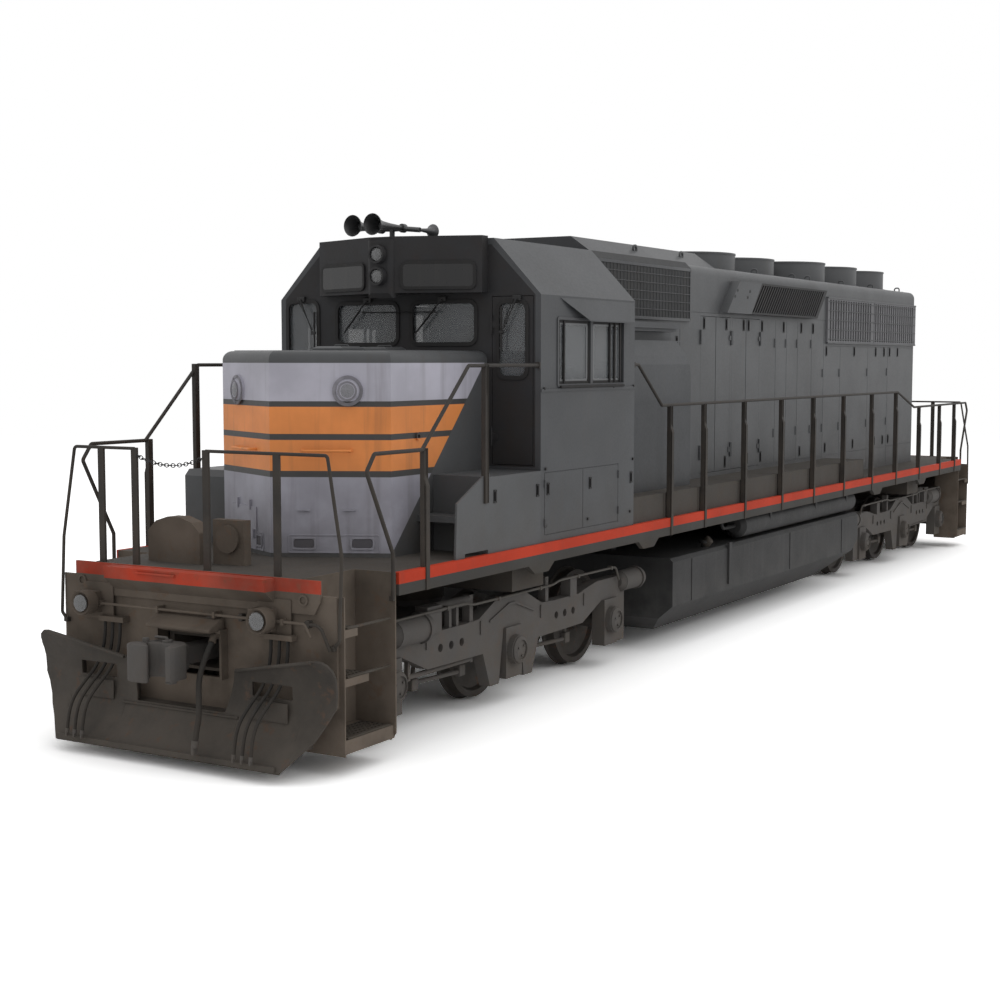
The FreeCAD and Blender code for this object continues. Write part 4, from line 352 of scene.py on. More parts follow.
class Finishes(Enum):
    """Every finish of the locomotive."""

    # The body's band along X darkens the hood and its fittings from x 2.3 to 6.2, with soft ends: painted shade near
    # the cab.
    BODY = Paint("charcoal_paint_with_painted_shade", CHARCOAL, 0.5, coat=0.05,
                 bands=(Band(2.3, 6.2, (0.055, 0.057, 0.062), axis=Axis.X, soft=1.0),))
    CAB_FRONT = Paint("anti_glare_paint", (0.030, 0.031, 0.034), 0.55, specular=0.2, dust_colour=(0.035, 0.026, 0.020),
                      dust_all=0.25, dust_head=3.6, rust=0.10, rust_colour=(0.045, 0.022, 0.014))
    # The cab's charcoal, darkened to about seven tenths of the body's: painted shade.
    CAB = Paint("cab_paint_darkened_as_painted_shade", (0.060, 0.063, 0.068), 0.5, coat=0.05)
    # The blower housing's charcoal, darkened further still: painted shade behind the cab.
    BLOWER = Paint("blower_paint_darkened_as_painted_shade", (0.050, 0.053, 0.058), 0.5, coat=0.05)
    HOUSING = Paint("brake_housing_paint", (0.013, 0.013, 0.014), 0.55,
                    bands=(Band(3.0, 5.0, CHARCOAL, slant=(0.878, 3.29)),))
    NOSE = Paint("short_hood_paint", CHARCOAL, 0.45, bands=NOSE_BANDS, blotch=0.20, dust_foot=1.55,
                 dust_head=2.6, dust=0.35, streaks=0.22)
    SILL = Paint("side_sill_paint", (0.06, 0.058, 0.055), 0.6, specular=0.1, bands=(Band(1.466, 1.70, RED),),
                 dust=0.5, dust_foot=1.30, dust_head=1.48, dust_all=0.05)
    PILOT = Paint("pilot_paint", (0.136, 0.112, 0.091), 0.7, specular=0.12, dust=0.75, dust_foot=0.4, dust_head=1.6,
                  dust_all=0.3, dust_colour=(0.160, 0.130, 0.105), rust=0.35, rust_colour=(0.135, 0.078, 0.048),
                  blotch=0.45, pitting=0.0014, bands=(
                      Band(1.456, 1.575, RED, slant=(0.0, 9.49)),
                      Band(1.456, 1.575, RED, slant=(0.0, -9.49), behind=True)))
    PLOW = Paint("plow_steel", (0.064, 0.055, 0.046), 0.65, dust=0.6, dust_foot=0.1, dust_head=0.8, dust_all=0.3,
                 dust_colour=(0.090, 0.077, 0.065), rust=0.5, rust_colour=(0.105, 0.058, 0.036), blotch=0.5,
                 pitting=0.0016)
    UNDERFRAME = Paint("grimed_frame_paint", (0.056, 0.051, 0.046), 0.75, dust=0.7, dust_foot=0.3,
                       dust_head=1.8, dust_all=0.35, rust=0.06, pitting=0.0012)
    CAST = Paint("grimed_cast_steel", (0.091, 0.086, 0.083), 0.7, dust=0.5, dust_foot=0.2, dust_head=1.1,
                 dust_all=0.25, dust_colour=(0.105, 0.090, 0.075), rust=0.10, pitting=0.002)
    WHEEL = Paint("wheel_steel", (0.085, 0.078, 0.072), 0.55, metallic=0.6, dust=0.3, dust_foot=0.1,
                  dust_head=1.1, dust_all=0.2, rust=0.35, pitting=0.001)
    TANK = Paint("tank_paint", (0.028, 0.028, 0.029), 0.6, dust=0.45, dust_foot=0.2, dust_head=1.1,
                 dust_all=0.15, dust_colour=(0.10, 0.097, 0.093), blotch=0.4, pitting=0.0015)
    SCREEN = Paint("screen_mesh_paint", (0.027, 0.028, 0.030), 0.65, dust=0.2, dust_all=0.08,
                   bands=(Band(-8.0, -3.2, (0.158, 0.158, 0.166), axis=Axis.X),))
    RAIL = Paint("handrail_paint", (0.026, 0.023, 0.021), 0.6, dust=0.5, dust_foot=1.3, dust_head=3.3,
                 dust_all=0.15, rust=0.05)
    CONSOLE = Paint("console_paint", (0.22, 0.25, 0.24), 0.5, dust=0.0)
    HORN = Paint("horn_metal", (0.085, 0.086, 0.088), 0.4, metallic=0.6, dust=0.0)
    ENGINE = Paint("engine_paint", (0.19, 0.21, 0.21), 0.5, dust=0.3, dust_foot=1.5, dust_head=3.0)
    RUBBER = Paint("hose_rubber", (0.022, 0.021, 0.020), 0.75, dust=0.6, dust_foot=0.0, dust_head=1.3)
    STEP = Paint("step_tread_steel", (0.075, 0.068, 0.060), 0.6, metallic=0.4, dust=0.6, dust_all=0.3, rust=0.2)
    PIPE = Paint("pipe_steel", (0.090, 0.082, 0.072), 0.6, dust=0.4, dust_foot=0.2, dust_head=1.2, rust=0.15)
    BLACK = Paint("black_enamel", (0.018, 0.018, 0.019), 0.45, dust=0.1, dust_all=0.05)
    GASKET = Paint("window_rubber", (0.016, 0.016, 0.017), 0.7, dust=0.1, dust_all=0.08, pitting=0.0)
    SASH = Paint("sash_aluminium", (0.16, 0.165, 0.17), 0.4, metallic=0.5, dust=0.1)
    BAR = Paint("grille_bar_paint", (0.075, 0.077, 0.080), 0.55, dust=0.2)
    BOARD = Paint("blank_board", (0.012, 0.012, 0.013), 0.3, coat=0.2, dust=0.1, blotch=0.0)
    # The ring is darkened over its lower half to a darker grey of its own hue and stays pale on top: darker towards
    # the bottom.
    LAMP_RING = Paint("lamp_ring_paint", (0.33, 0.32, 0.36), 0.45, dust=0.8, dust_foot=2.8, dust_head=3.2,
                      dust_colour=(0.12, 0.115, 0.12), blotch=0.6)
    CHROME = Paint("lamp_reflector", (0.24, 0.24, 0.25), 0.3, metallic=1.0, dust=0.0, dust_all=0.02, blotch=0.05,
                   streaks=0.0, pitting=0.0)
    # Dark colour of the flat toe-hole sheets: painted shade of the recesses.
    TOE = Paint("toe_hole_painted_shade", (0.10, 0.098, 0.115), 0.6, dust=0.3)
    LENS = Glass("lamp_lens", (0.22, 0.222, 0.225), 0.55, (0.20, 0.20, 0.195))
    GLASS = Glass("window_glass")
    SEAT = Cloth("seat_cloth", (0.035, 0.035, 0.04))


class Wardrobe:
    """Builds each finish once and hands it out."""

    built: dict[Finishes, bpy.types.Material] = {}

    @classmethod
    def get(cls, finish: Finishes) -> bpy.types.Material:
        """Return the material of a finish."""
        if finish not in cls.built:
            cls.built[finish] = finish.value.build()
        return cls.built[finish]

    @classmethod
    def dress(cls, thing: Thing, finish: Finishes) -> Thing:
        """Give an object one finish all over."""
        thing.data.materials.clear()
        thing.data.materials.append(cls.get(finish))
        return thing


# ---------------------------------------------------------------- bench
class Bench:
    """Hand tools: primitives placed, shaped in edit mode and finished with modifiers."""

    @classmethod
    def rest(cls) -> None:
        """Leave edit mode and deselect everything."""
        if bpy.context.object and bpy.context.object.mode != "OBJECT":
            cls.done()
        bpy.ops.object.select_all(action="DESELECT")

    @classmethod
    def pick(cls, *things: Thing) -> Thing:
        """Select only the given objects and make the first one active."""
        cls.rest()
        for thing in things:
            thing.select_set(True)
        bpy.context.view_layer.objects.active = things[0]
        return things[0]

    @classmethod
    def block(cls, low: Point, high: Point, edge: float = 0.004, steps: int = 1) -> Thing:
        """Make a box between two corners with eased edges.

        Args:
            low: Lowest corner.
            high: Highest corner.
            edge: Width of the eased edges.
            steps: Segments across an eased edge.

        Returns:
            The box.
        """
        cls.rest()
        middle = [(a + b) / 2 for a, b in zip(low, high)]
        bpy.ops.mesh.primitive_cube_add(size=1, location=middle, scale=[b - a for a, b in zip(low, high)])
        bpy.ops.object.transform_apply(location=True, rotation=False, scale=True)
        if edge:
            cls.edit()
            bpy.ops.mesh.bevel(offset=edge, segments=steps, affect="EDGES")
            cls.done()
        return bpy.context.object

    @classmethod
    def rod(cls, start: Point, end: Point, radius: float, sides: int = 16, edge: float = 0.0,
            mouth: float | None = None) -> Thing:
        """Make a round bar or cone between two points.

        Args:
            start: Centre of the first end.
            end: Centre of the second end.
            radius: Radius of the first end.
            sides: Faces round it.
            edge: Width of the eased rims.
            mouth: Radius of the second end where it differs.

        Returns:
            The bar.
        """
        cls.rest()
        first, second = Vector(start), Vector(end)
        way = second - first
        turn = way.to_track_quat("Z", "Y").to_euler()
        bpy.ops.mesh.primitive_cone_add(vertices=sides, radius1=radius, radius2=radius if mouth is None else mouth,
                                        depth=way.length, location=(first + second) / 2, rotation=turn)
        bpy.ops.object.transform_apply(location=True, rotation=True, scale=True)
        if edge:
            cls.where("EDGE", lambda a, b: abs((b - a).normalized().dot(way.normalized())) < 0.5)
            bpy.ops.mesh.bevel(offset=edge, segments=2, affect="EDGES")
            cls.done()
        return bpy.context.object

    @staticmethod
    def edit(kind: str | None = None) -> None:
        """Enter edit mode with everything selected; kind sets what is picked: VERT, EDGE or FACE."""
        bpy.ops.object.mode_set(mode="EDIT")
        if kind:
            bpy.ops.mesh.select_mode(type=kind)
        bpy.ops.mesh.select_all(action="SELECT")

    @staticmethod
    def done() -> None:
        """Leave edit mode."""
        bpy.ops.object.mode_set(mode="OBJECT")

    @staticmethod
    def smooth(angle: float) -> None:
        """Shade the edges smooth that turn by less than an angle."""
        bpy.ops.object.shade_smooth_by_angle(angle=angle)

    @classmethod
    def face_out(cls) -> None:
        """Turn every face's normal outwards."""
        bpy.ops.mesh.select_all(action="SELECT")
        bpy.ops.mesh.normals_make_consistent(inside=False)
        cls.done()

    @classmethod
    def where(cls, kind: str, wanted: Callable[..., bool]) -> None:
        """Enter edit mode with only the parts selected that meet a test.

        Args:
            kind: VERT, EDGE or FACE.
            wanted: Test on a corner's place, on an edge's two ends, or on a face's middle and normal.
        """
        cls.edit(kind)
        bpy.ops.mesh.select_all(action="DESELECT")
        cls.done()
        mesh = bpy.context.object.data
        if kind == "VERT":
            facts = [(spot, (spot.co,)) for spot in mesh.vertices]
        elif kind == "EDGE":
            facts = [(edge, [mesh.vertices[end].co for end in edge.vertices]) for edge in mesh.edges]
        else:
            facts = [(face, (face.center, face.normal)) for face in mesh.polygons]
        for part, fact in facts:
            part.select = wanted(*fact)
        bpy.ops.object.mode_set(mode="EDIT")

    @classmethod
    def sink(cls, way: Point, inset: float, depth: float, more: Callable[[Vector], bool] | None = None) -> None:
        """Inset the faces that look one way, and move what lies inside along it.

        Args:
            way: Unit vector of the way that the faces look.
            inset: Width of the rim that stays.
            depth: How far the inside moves inwards; a negative one raises it.
            more: Further test on a face's middle.
        """
        cls.where("FACE", lambda c, n: n.dot(Vector(way)) > 0.9 and (more is None or more(c)))
        bpy.ops.mesh.inset(thickness=inset)
        bpy.ops.transform.translate(value=tuple(-depth * share for share in way))
        cls.done()

    @classmethod
    def apply(cls, thing: Thing, kind: str, **settings: object) -> None:
        """Give an object a modifier and apply it.

        Args:
            thing: The object.
            kind: Type of the modifier.
            settings: Its settings.
        """
        change = thing.modifiers.new(kind.lower(), kind)
        for name, value in settings.items():
            setattr(change, name, value)
        bpy.ops.object.modifier_apply(modifier=change.name)

    @classmethod
    def ease(cls, thing: Thing, width: float) -> None:
        """Round an object's sharp edges."""
        cls.apply(thing, "BEVEL", width=width, segments=2, limit_method="ANGLE")

    @classmethod
    def trace(cls, points: Sequence[Point]) -> None:
        """Draw a line and stay in edit mode.

        Args:
            points: Its points in order.
        """
        cls.rest()
        bpy.ops.mesh.primitive_plane_add(size=0.001, location=points[0])
        bpy.ops.object.transform_apply(location=True, rotation=False, scale=False)
        cls.edit("VERT")
        bpy.ops.mesh.merge(type="CENTER")
        for here, there in zip(points, points[1:]):
            step = tuple(b - a for a, b in zip(here, there))
            bpy.ops.mesh.extrude_vertices_move(TRANSFORM_OT_translate={"value": step})

    @classmethod
    def sheet(cls, points: Sequence[Point]) -> Thing:
        """Fill a closed outline.

        Args:
            points: Its corners, anticlockwise seen from the front.

        Returns:
            The sheet.
        """
        cls.trace(points)
        bpy.ops.mesh.select_all(action="SELECT")
        bpy.ops.mesh.edge_face_add()
        cls.done()
        return bpy.context.object

    @classmethod
    def slab(cls, outline: Sequence[Pair], low: float, high: float, axis: Axis,
             edge: float = 0.006) -> Thing:
        """Make a plate or casting from an outline drawn across one axis.

        Args:
            outline: Corners in the two other axes, in the order of the frame's axes.
            low: Where it starts along the axis.
            high: Where it ends.
            axis: The axis it is drawn across.
            edge: Width of the eased edges.

        Returns:
            The slab.
        """
        points = []
        for pair in outline:
            spot = list(pair)
            spot.insert(axis.value, low)
            points.append(tuple(spot))
        thing = cls.sheet(points)
        step = [0.0, 0.0, 0.0]
        step[axis.value] = high - low
        cls.edit()
        bpy.ops.mesh.extrude_region_move(TRANSFORM_OT_translate={"value": step})
        cls.face_out()
        if edge:
            cls.ease(thing, edge)
            cls.smooth(0.6)
        return thing

    @classmethod
    def pipe(cls, points: Sequence[Point], radius: float, bend: float = 0.0, sides: int = 2) -> Thing:
        """Draw a line of points, ease its corners and give it a round section.

        Args:
            points: The route.
            radius: Radius of the section.
            bend: Length cut off each corner.
            sides: Resolution of the section.

        Returns:
            The pipe.
        """
        cls.trace(points)
        if bend and len(points) > 2:
            bpy.ops.mesh.select_all(action="SELECT")
            bpy.ops.mesh.bevel(offset=bend, segments=4, affect="VERTICES")
        cls.done()
        bpy.ops.object.convert(target="CURVE")
        line = bpy.context.object
        line.data.bevel_depth = radius
        line.data.bevel_resolution = sides
        line.data.use_fill_caps = True
        bpy.ops.object.convert(target="MESH")
        cls.edit()
        bpy.ops.mesh.remove_doubles(threshold=0.00002)
        cls.face_out()
        cls.smooth(0.7)
        return bpy.context.object

    @classmethod
    def ring(cls, centre: Point, facing: Point, radius: float, thick: float, depth: float, sides: int = 24) -> Thing:
        """Make a flat round collar from an inset and solidified disc.

        Args:
            centre: Its middle.
            facing: Way it looks.
            radius: Outer radius.
            thick: Width of the collar.
            depth: How far it stands proud.
            sides: Faces round it.

        Returns:
            The collar.
        """
        cls.rest()
        turn = Vector(facing).to_track_quat("Z", "Y").to_euler()
        bpy.ops.mesh.primitive_circle_add(vertices=sides, radius=radius, fill_type="NGON", location=centre,
                                          rotation=turn)
        bpy.ops.object.transform_apply(location=True, rotation=True, scale=True)
        cls.edit()
        bpy.ops.mesh.inset(thickness=thick)
        bpy.ops.mesh.delete(type="FACE")
        cls.done()
        return cls.thicken(bpy.context.object, depth, depth * 0.25)

    @classmethod
    def thicken(cls, thing: Thing, depth: float, edge: float = 0.0) -> Thing:
        """Give a sheet its thickness along its normals.

        Args:
            thing: The sheet.
            depth: Its thickness.
            edge: Width of the eased edges.

        Returns:
            The solid.
        """
        cls.pick(thing)
        cls.apply(thing, "SOLIDIFY", thickness=depth, offset=1.0, use_even_offset=True)
        if edge:
            cls.ease(thing, edge)
        return thing

    @classmethod
    def frame(cls, corner: Point, across: Point, up: Point, width: float, depth: float, radius: float) -> Thing:
        """Make a rectangular frame, or a panel, with rounded corners that stands proud of a wall.

        Args:
            corner: Lower corner of the frame's outside.
            across: Vector along the lower side.
            up: Vector along the side.
            width: Width of the frame's section; 0 gives a whole panel.
            depth: How far it stands proud.
            radius: Radius of the outer corners.

        Returns:
            The frame, facing across x up.
        """
        cls.rest()
        side, rise = Vector(across), Vector(up)
        out = side.cross(rise).normalized()
        bpy.ops.mesh.primitive_plane_add(size=1)
        sheet = bpy.context.object
        place = Matrix((side, rise, out)).transposed().to_4x4()
        place.translation = Vector(corner) + side / 2 + rise / 2
        sheet.data.transform(place)
        cls.edit()
        bpy.ops.mesh.bevel(offset=radius, segments=5, affect="VERTICES")
        if width:
            bpy.ops.mesh.select_all(action="SELECT")
            bpy.ops.mesh.inset(thickness=width, use_even_offset=True)
            bpy.ops.mesh.delete(type="FACE")
        cls.done()
        return cls.thicken(sheet, depth, depth * 0.25)

    @classmethod
    def join(cls, *things: Thing) -> Thing:
        """Make one piece of several."""
        cls.pick(*things)
        if len(things) > 1:
            bpy.ops.object.join()
        return things[0]

    @classmethod
    def copy(cls, thing: Thing, shift: Point = (0, 0, 0), flip: Axis | None = None) -> Thing:
        """Copy a piece with its own mesh, moved and, if asked, mirrored across a plane through the origin.

        Args:
            thing: The piece.
            shift: How far the copy moves.
            flip: The axis whose sign changes.

        Returns:
            The copy.
        """
        cls.pick(thing)
        bpy.ops.object.duplicate()
        twin = bpy.context.object
        scale = [-1 if flip is axis else 1 for axis in Axis]
        twin.data.transform(Matrix.Translation(shift) @ Matrix.Diagonal((*scale, 1)))
        if flip:
            cls.edit()
            bpy.ops.mesh.flip_normals()
            cls.done()
        return twin


def around(count: int, start: float) -> list[float]:
    """Return angles spaced evenly round a circle from a first one."""
    return [step * math.tau / count + start for step in range(count)]


@dataclass
class Fittings:
    """A group of pieces that ride on one body, or on another that is named for a piece."""

    body: str = "frame"
    count: int = 0

    def add(self, thing: Thing, name: str, finish: Finishes, body: str | None = None) -> Thing:
        """Name a finished piece, dress it and let it ride on its body.

        Args:
            thing: The piece.
            name: Its name.
            finish: Its finish.
            body: The body it rides on, where it isn't the group's own.

        Returns:
            The piece.
        """
        thing.name = name
        thing.data.name = name
        Wardrobe.dress(thing, finish)
        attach(thing, body or self.body)
        self.count += 1
        LOG.info("%s: %d faces on %s", thing.name, len(getattr(thing.data, "polygons", ())), body or self.body)
        return thing

    def both(self, thing: Thing, name: str, finish: Finishes) -> None:
        """Add a piece of the left side and its mirrored twin on the right side."""
        twin = Bench.copy(thing, flip=Axis.Y)
        self.add(thing, name + "_left", finish)
        self.add(twin, name + "_right", finish)

    def lamp(self, centre: Point, facing: Point, radius: float, name: str) -> None:
        """Make a lamp: a bright bowl behind a domed lens.

        Args:
            centre: Middle of the lens.
            facing: Way the lamp looks.
            radius: Radius of the lens.
            name: Name of the lamp.
        """
        way = Vector(facing).normalized()
        spot = Vector(centre)

        def ahead(_: Vector, normal: Vector) -> bool:
            """Tell whether a face looks the lamp's way."""
            return normal.dot(way) > 0.9

        glass = Bench.rod(spot - way * 0.006, spot + way * 0.004, radius, 28)
        Bench.where("FACE", ahead)
        for inset, rise in ((0.22, 0.006), (0.25, 0.003), (0.3, 0.001)):
            bpy.ops.mesh.inset(thickness=radius * inset)
            bpy.ops.transform.translate(value=way * rise)
        Bench.done()
        Bench.smooth(0.6)
        self.add(glass, name + "_lens", Finishes.LENS)
        bowl = Bench.rod(spot - way * 0.034, spot - way * 0.010, radius * 0.45, 24, mouth=radius * 0.97)
        Bench.where("FACE", ahead)
        bpy.ops.mesh.inset(thickness=radius * 0.06)
        bpy.ops.transform.translate(value=way * -0.016)
        bpy.ops.transform.resize(value=(0.5, 0.5, 0.5), center_override=tuple(spot - way * 0.026))
        Bench.done()
        Bench.smooth(0.9)
        self.add(bowl, name + "_bowl", Finishes.CHROME)


# ---------------------------------------------------------------- construction nodes
NODE_FINISH = {
    "underframe": Finishes.UNDERFRAME, "side_sills": Finishes.SILL, "front_pilot": Finishes.PILOT,
    "rear_pilot": Finishes.PILOT, "snow_plow": Finishes.PLOW, "front_coupler": Finishes.CAST,
    "rear_coupler": Finishes.CAST, "fuel_tank": Finishes.TANK, "air_reservoirs": Finishes.TANK,
    "cab_glass": Finishes.GLASS, "cab_seats": Finishes.SEAT, "control_stand": Finishes.CONSOLE,
    "nose": Finishes.NOSE, "horn": Finishes.HORN, "blower_housing": Finishes.BLOWER,
    "hood_grilles": Finishes.SCREEN, "engine_block": Finishes.ENGINE, "side_handrails": Finishes.RAIL,
    "cab_front": Finishes.CAB_FRONT, "light_box": Finishes.CAB_FRONT, "front_door": Finishes.CAB_FRONT,
    "brake_housings": Finishes.HOUSING, "end_handrails": Finishes.RAIL, "walkway_duct": Finishes.UNDERFRAME,
    "hose_couplings": Finishes.CAST,
}


# Cab and rear door nodes take the cab's darkened charcoal, which is painted shade.
WORD_FINISH = {"wheelset": Finishes.WHEEL, "cab_": Finishes.CAB, "rear_door": Finishes.CAB, "bogie": Finishes.CAST,
               "fan_": Finishes.SCREEN, "hose": Finishes.RUBBER}


def finish_of(node: str) -> Finishes:
    """Return the finish of a construction node, by its name or else by a word in it."""
    found = (finish for word, finish in WORD_FINISH.items() if word in node)
    return NODE_FINISH.get(node) or next(found, Finishes.BODY)


# ---------------------------------------------------------------- cab
class Latch:
    """Flush pull handle of a hood or locker door."""

    @staticmethod
    def make(place: Point, height: float, wide: float = 0.05) -> Thing:
        """Make a recessed plate with its lever, on a left side.

        Args:
            place: Middle of the plate on the wall's face.
            height: Height of the plate.
            wide: Its width.

        Returns:
            The latch.
        """
        x, y, z = place
        half, arm, rise = wide / 2, wide * 0.16, height * 0.36
        plate = Bench.block((x - half, y - 0.001, z - height / 2), (x + half, y + 0.007, z + height / 2), 0.0015)
        Bench.sink((0, 1, 0), arm, 0.005, lambda c: c.y > y + 0.006)
        lever = Bench.block((x - arm, y + 0.002, z - rise), (x + arm, y + 0.016, z + rise), 0.003)
        return Bench.join(plate, lever)


@dataclass
class CabFittings(Fittings):
    """Gaskets, sashes, wipers, lamps, latches, cushions and controls of the cab."""

    face: float = 6.344
    back: float = 4.332
    side: float = 1.526
    gasket: float = 0.040
    proud: float = 0.014
    swell: float = 0.012
    locker_latch: float = 2.07
    front_windows: tuple[tuple[str, float, float, float, float, str], ...] = (
        ("centre_left", 0.09, 0.81, 3.45, 3.84, "frame"), ("centre_right", -0.81, -0.09, 3.45, 3.84, "frame"),
        ("outer_right", -1.43, -1.06, 3.13, 3.87, "frame"), ("door", 1.07, 1.37, 3.13, 3.83, "front_door"))
    rear_windows: tuple[tuple[str, float, float, str], ...] = (
        ("left", 1.06, 1.40, "frame"), ("door", -1.37, -1.07, "rear_door"))
    bell: Pairs = (
        (1.0, 0.20), (0.55, 0.30), (0.30, 0.42), (0.16, 0.58), (0.07, 0.80), (0.02, 0.97), (0.0, 1.0),
        (-0.006, 0.97), (0.02, 0.88), (0.07, 0.72), (0.16, 0.50), (0.30, 0.34))

    def build(self) -> None:
        """Make every fitting of the cab."""
        self.gaskets()
        self.door_panes()
        self.sashes()
        self.wipers()
        self.head_lamps()
        self.boards()
        self.horns()
        self.lockers()
        self.cushions()
        self.controls()

    def gaskets(self) -> None:
        """Fit a rubber gasket round each fixed window of the front and the rear."""
        edge = 0.03
        for name, low, high, foot, head, body in self.front_windows:
            ring = Bench.frame((self.face, low - edge, foot - edge), (0, high - low + 2 * edge, 0),
                               (0, 0, head - foot + 2 * edge), self.gasket, self.proud, 0.1)
            self.add(ring, "gasket_front_" + name, Finishes.GASKET, body)
        for name, low, high, body in self.rear_windows:
            ring = Bench.frame((self.back, high + edge, 3.25 - edge), (0, low - high - 2 * edge, 0),
                               (0, 0, 0.55 + 2 * edge), self.gasket, 0.003, 0.1)
            self.add(ring, "gasket_rear_" + name, Finishes.GASKET, body)

    def door_panes(self) -> None:
        """Set a pane in each cab door."""
        pane = Bench.frame((self.face - 0.026, 1.05, 3.11), (0, 0.34, 0), (0, 0, 0.74), 0.0, 0.008, 0.07)
        self.add(pane, "front_door_pane", Finishes.GLASS, "front_door")
        pane = Bench.frame((self.back + 0.026, -1.05, 3.23), (0, -0.34, 0), (0, 0, 0.59), 0.0, 0.008, 0.07)
        self.add(pane, "rear_door_pane", Finishes.GLASS, "rear_door")

    def sashes(self) -> None:
        """Fit the outer frame, dark tracks and two sliding sashes in each side window."""
        outer = Bench.frame((6.03, self.side, 3.03), (-1.45, 0, 0), (0, 0, 0.67), 0.028, 0.010, 0.03)
        self.both(outer, "window_surround", Finishes.BODY)
        for name, high in (("fore", 6.0), ("aft", 5.28)):
            sash = Bench.frame((high - 0.03, self.side - 0.034, 3.07), (-0.61, 0, 0), (0, 0, 0.59), 0.034, 0.016, 0.05)
            self.both(sash, f"sash_{name}", Finishes.SASH)
            track = Bench.frame((high, self.side - 0.026, 3.06), (-0.67, 0, 0), (0, 0, 0.61), 0.026, 0.010, 0.02)
            self.both(track, f"track_{name}", Finishes.GASKET)
        slots = [Bench.block((x - 0.014, self.side - 0.030, 3.065), (x + 0.014, self.side - 0.004, 3.665), 0.003)
                 for x in (5.975, 5.865, 4.885, 4.775, 4.655)]
        self.both(Bench.join(*slots), "window_channels", Finishes.GASKET)
        rest = Bench.block((4.62, self.side - 0.012, 3.018), (5.99, self.side + 0.034, 3.046), 0.012, 3)
        self.both(rest, "arm_rest", Finishes.GASKET)

    def wiper(self, pivot: Point, tip: Point, link: Point | None = None) -> Thing:
        """Make a wiper: its motor box, tapered arm and blade.

        Args:
            pivot: Where the arm turns.
            tip: End of the arm.
            link: Middle of an upright blade; where it is left out the blade lies along the arm.

        Returns:
            The wiper.
        """
        x, y, z = pivot
        motor = Bench.block((x - 0.02, y - 0.045, z - 0.02), (x + 0.035, y + 0.045, z + 0.035), 0.008, 2)
        shaft = Bench.rod((x, y, z - 0.004), (x + 0.05, y, z - 0.004), 0.011, 10, 0.002)
        arm = Bench.rod((x + 0.042, y, z), (tip[0] + 0.03, tip[1], tip[2]), 0.009, 6, mouth=0.005)
        parts = [motor, shaft, arm]
        if link:
            _, blade_y, blade_z = link
            parts.append(Bench.block((tip[0] + 0.012, blade_y - 0.008, blade_z - 0.21),
                                     (tip[0] + 0.034, blade_y + 0.008, blade_z + 0.21), 0.004))
            parts.append(Bench.rod((x + 0.042, y - 0.03, z), (tip[0] + 0.03, tip[1], tip[2] + 0.03), 0.005, 6))
            parts.append(Bench.block((tip[0] + 0.018, min(tip[1], blade_y) - 0.02, tip[2] - 0.014),
                                     (tip[0] + 0.04, max(tip[1], blade_y) + 0.02, tip[2] + 0.014), 0.004))
        else:
            way = Vector(tip) - Vector(pivot)
            start = Vector(pivot) + way * 0.28
            parts.append(Bench.rod(start + Vector((0.026, 0, 0)), Vector(tip) + way * 0.06 + Vector((0.014, 0, 0)),
                                   0.010, 6, mouth=0.006))
        return Bench.join(*parts)

    def wipers(self) -> None:
        """Fit two linked wipers on the centre windows and one on each outer window."""
        x = self.face
        for word, pivot, tip in (("right", (x, -0.431, 3.871), (x + 0.01, -0.706, 3.565)),
                                 ("left", (x, 0.447, 3.867), (x + 0.01, 0.158, 3.564))):
            self.add(self.wiper(pivot, tip), f"wiper_centre_{word}", Finishes.BLACK)
        ends = ((-0.47, 3.757), (0.37, 3.752))
        link = [Bench.rod(*((x + 0.046, *end) for end in ends), 0.005, 8)]
        link += [Bench.rod((x + 0.03, *end), (x + 0.056, *end), 0.012, 8, 0.002) for end in ends]
        self.add(Bench.join(*link), "wiper_link", Finishes.BLACK)
        for word, body, pivot, tip, blade in (
                ("outer_right", "frame", (x, -1.25, 3.895), (x + 0.012, -1.095, 3.56), (x, -1.08, 3.56)),
                ("door", "front_door", (x, 1.28, 3.862), (x + 0.012, 1.128, 3.55), (x, 1.117, 3.58))):
            self.add(self.wiper(pivot, tip, blade), f"wiper_{word}", Finishes.BLACK, body)

    def head_lamps(self) -> None:
        """Fit the two head lamps of the light box and the two lamps of the rear wall."""
        for number, z in enumerate((4.083, 4.290)):
            self.lamp((6.822, 0.0, z), (1, 0, 0), 0.062, f"head_lamp_{number}")
            rim = Bench.ring((6.833, 0.0, z), (1, 0, 0), 0.088, 0.020, 0.008)
            self.add(rim, f"head_lamp_rim_{number}", Finishes.BLACK)
        for number, z in enumerate((3.95, 4.15)):
            self.lamp((-7.948, 0.0, z), (-1, 0, 0), 0.062, f"rear_lamp_{number}")

    def boards(self) -> None:
        """Fit a blank board in its rubber frame on each side of both pairs of lamps."""
        along, out = (-0.3337, 0.9426), (0.9426, 0.3337)
        for side, word in SIDES:
            for kind, inset, rise, width in (("frame", 0.0, 0.013, 0.030), ("face", 0.026, 0.011, 0.0)):
                near, far = 0.06 + inset, 0.80 - inset
                start, length = (near, far - near) if side > 0 else (far, near - far)
                corner = (6.739 + along[0] * start + out[0] * rise, side * (0.145 + along[1] * start + out[1] * rise),
                          3.955 + inset)
                sheet = Bench.frame(corner, (along[0] * length, side * along[1] * length, 0),
                                    (0, 0, 0.27 - 2 * inset), width, 0.008, 0.062 - inset)
                finish = Finishes.GASKET if width else Finishes.BOARD
                self.add(sheet, f"board_{kind}_{word}", finish)
                low, high = (0.19, 0.80) if side > 0 else (-0.80, -0.19)
                rear = Bench.frame((-7.872, high - inset, 3.90 + inset), (0, low - high + 2 * inset, 0),
                                   (0, 0, 0.27 - 2 * inset), width, 0.008, 0.05 - inset)
                self.add(rear, f"rear_board_{kind}_{word}", finish)

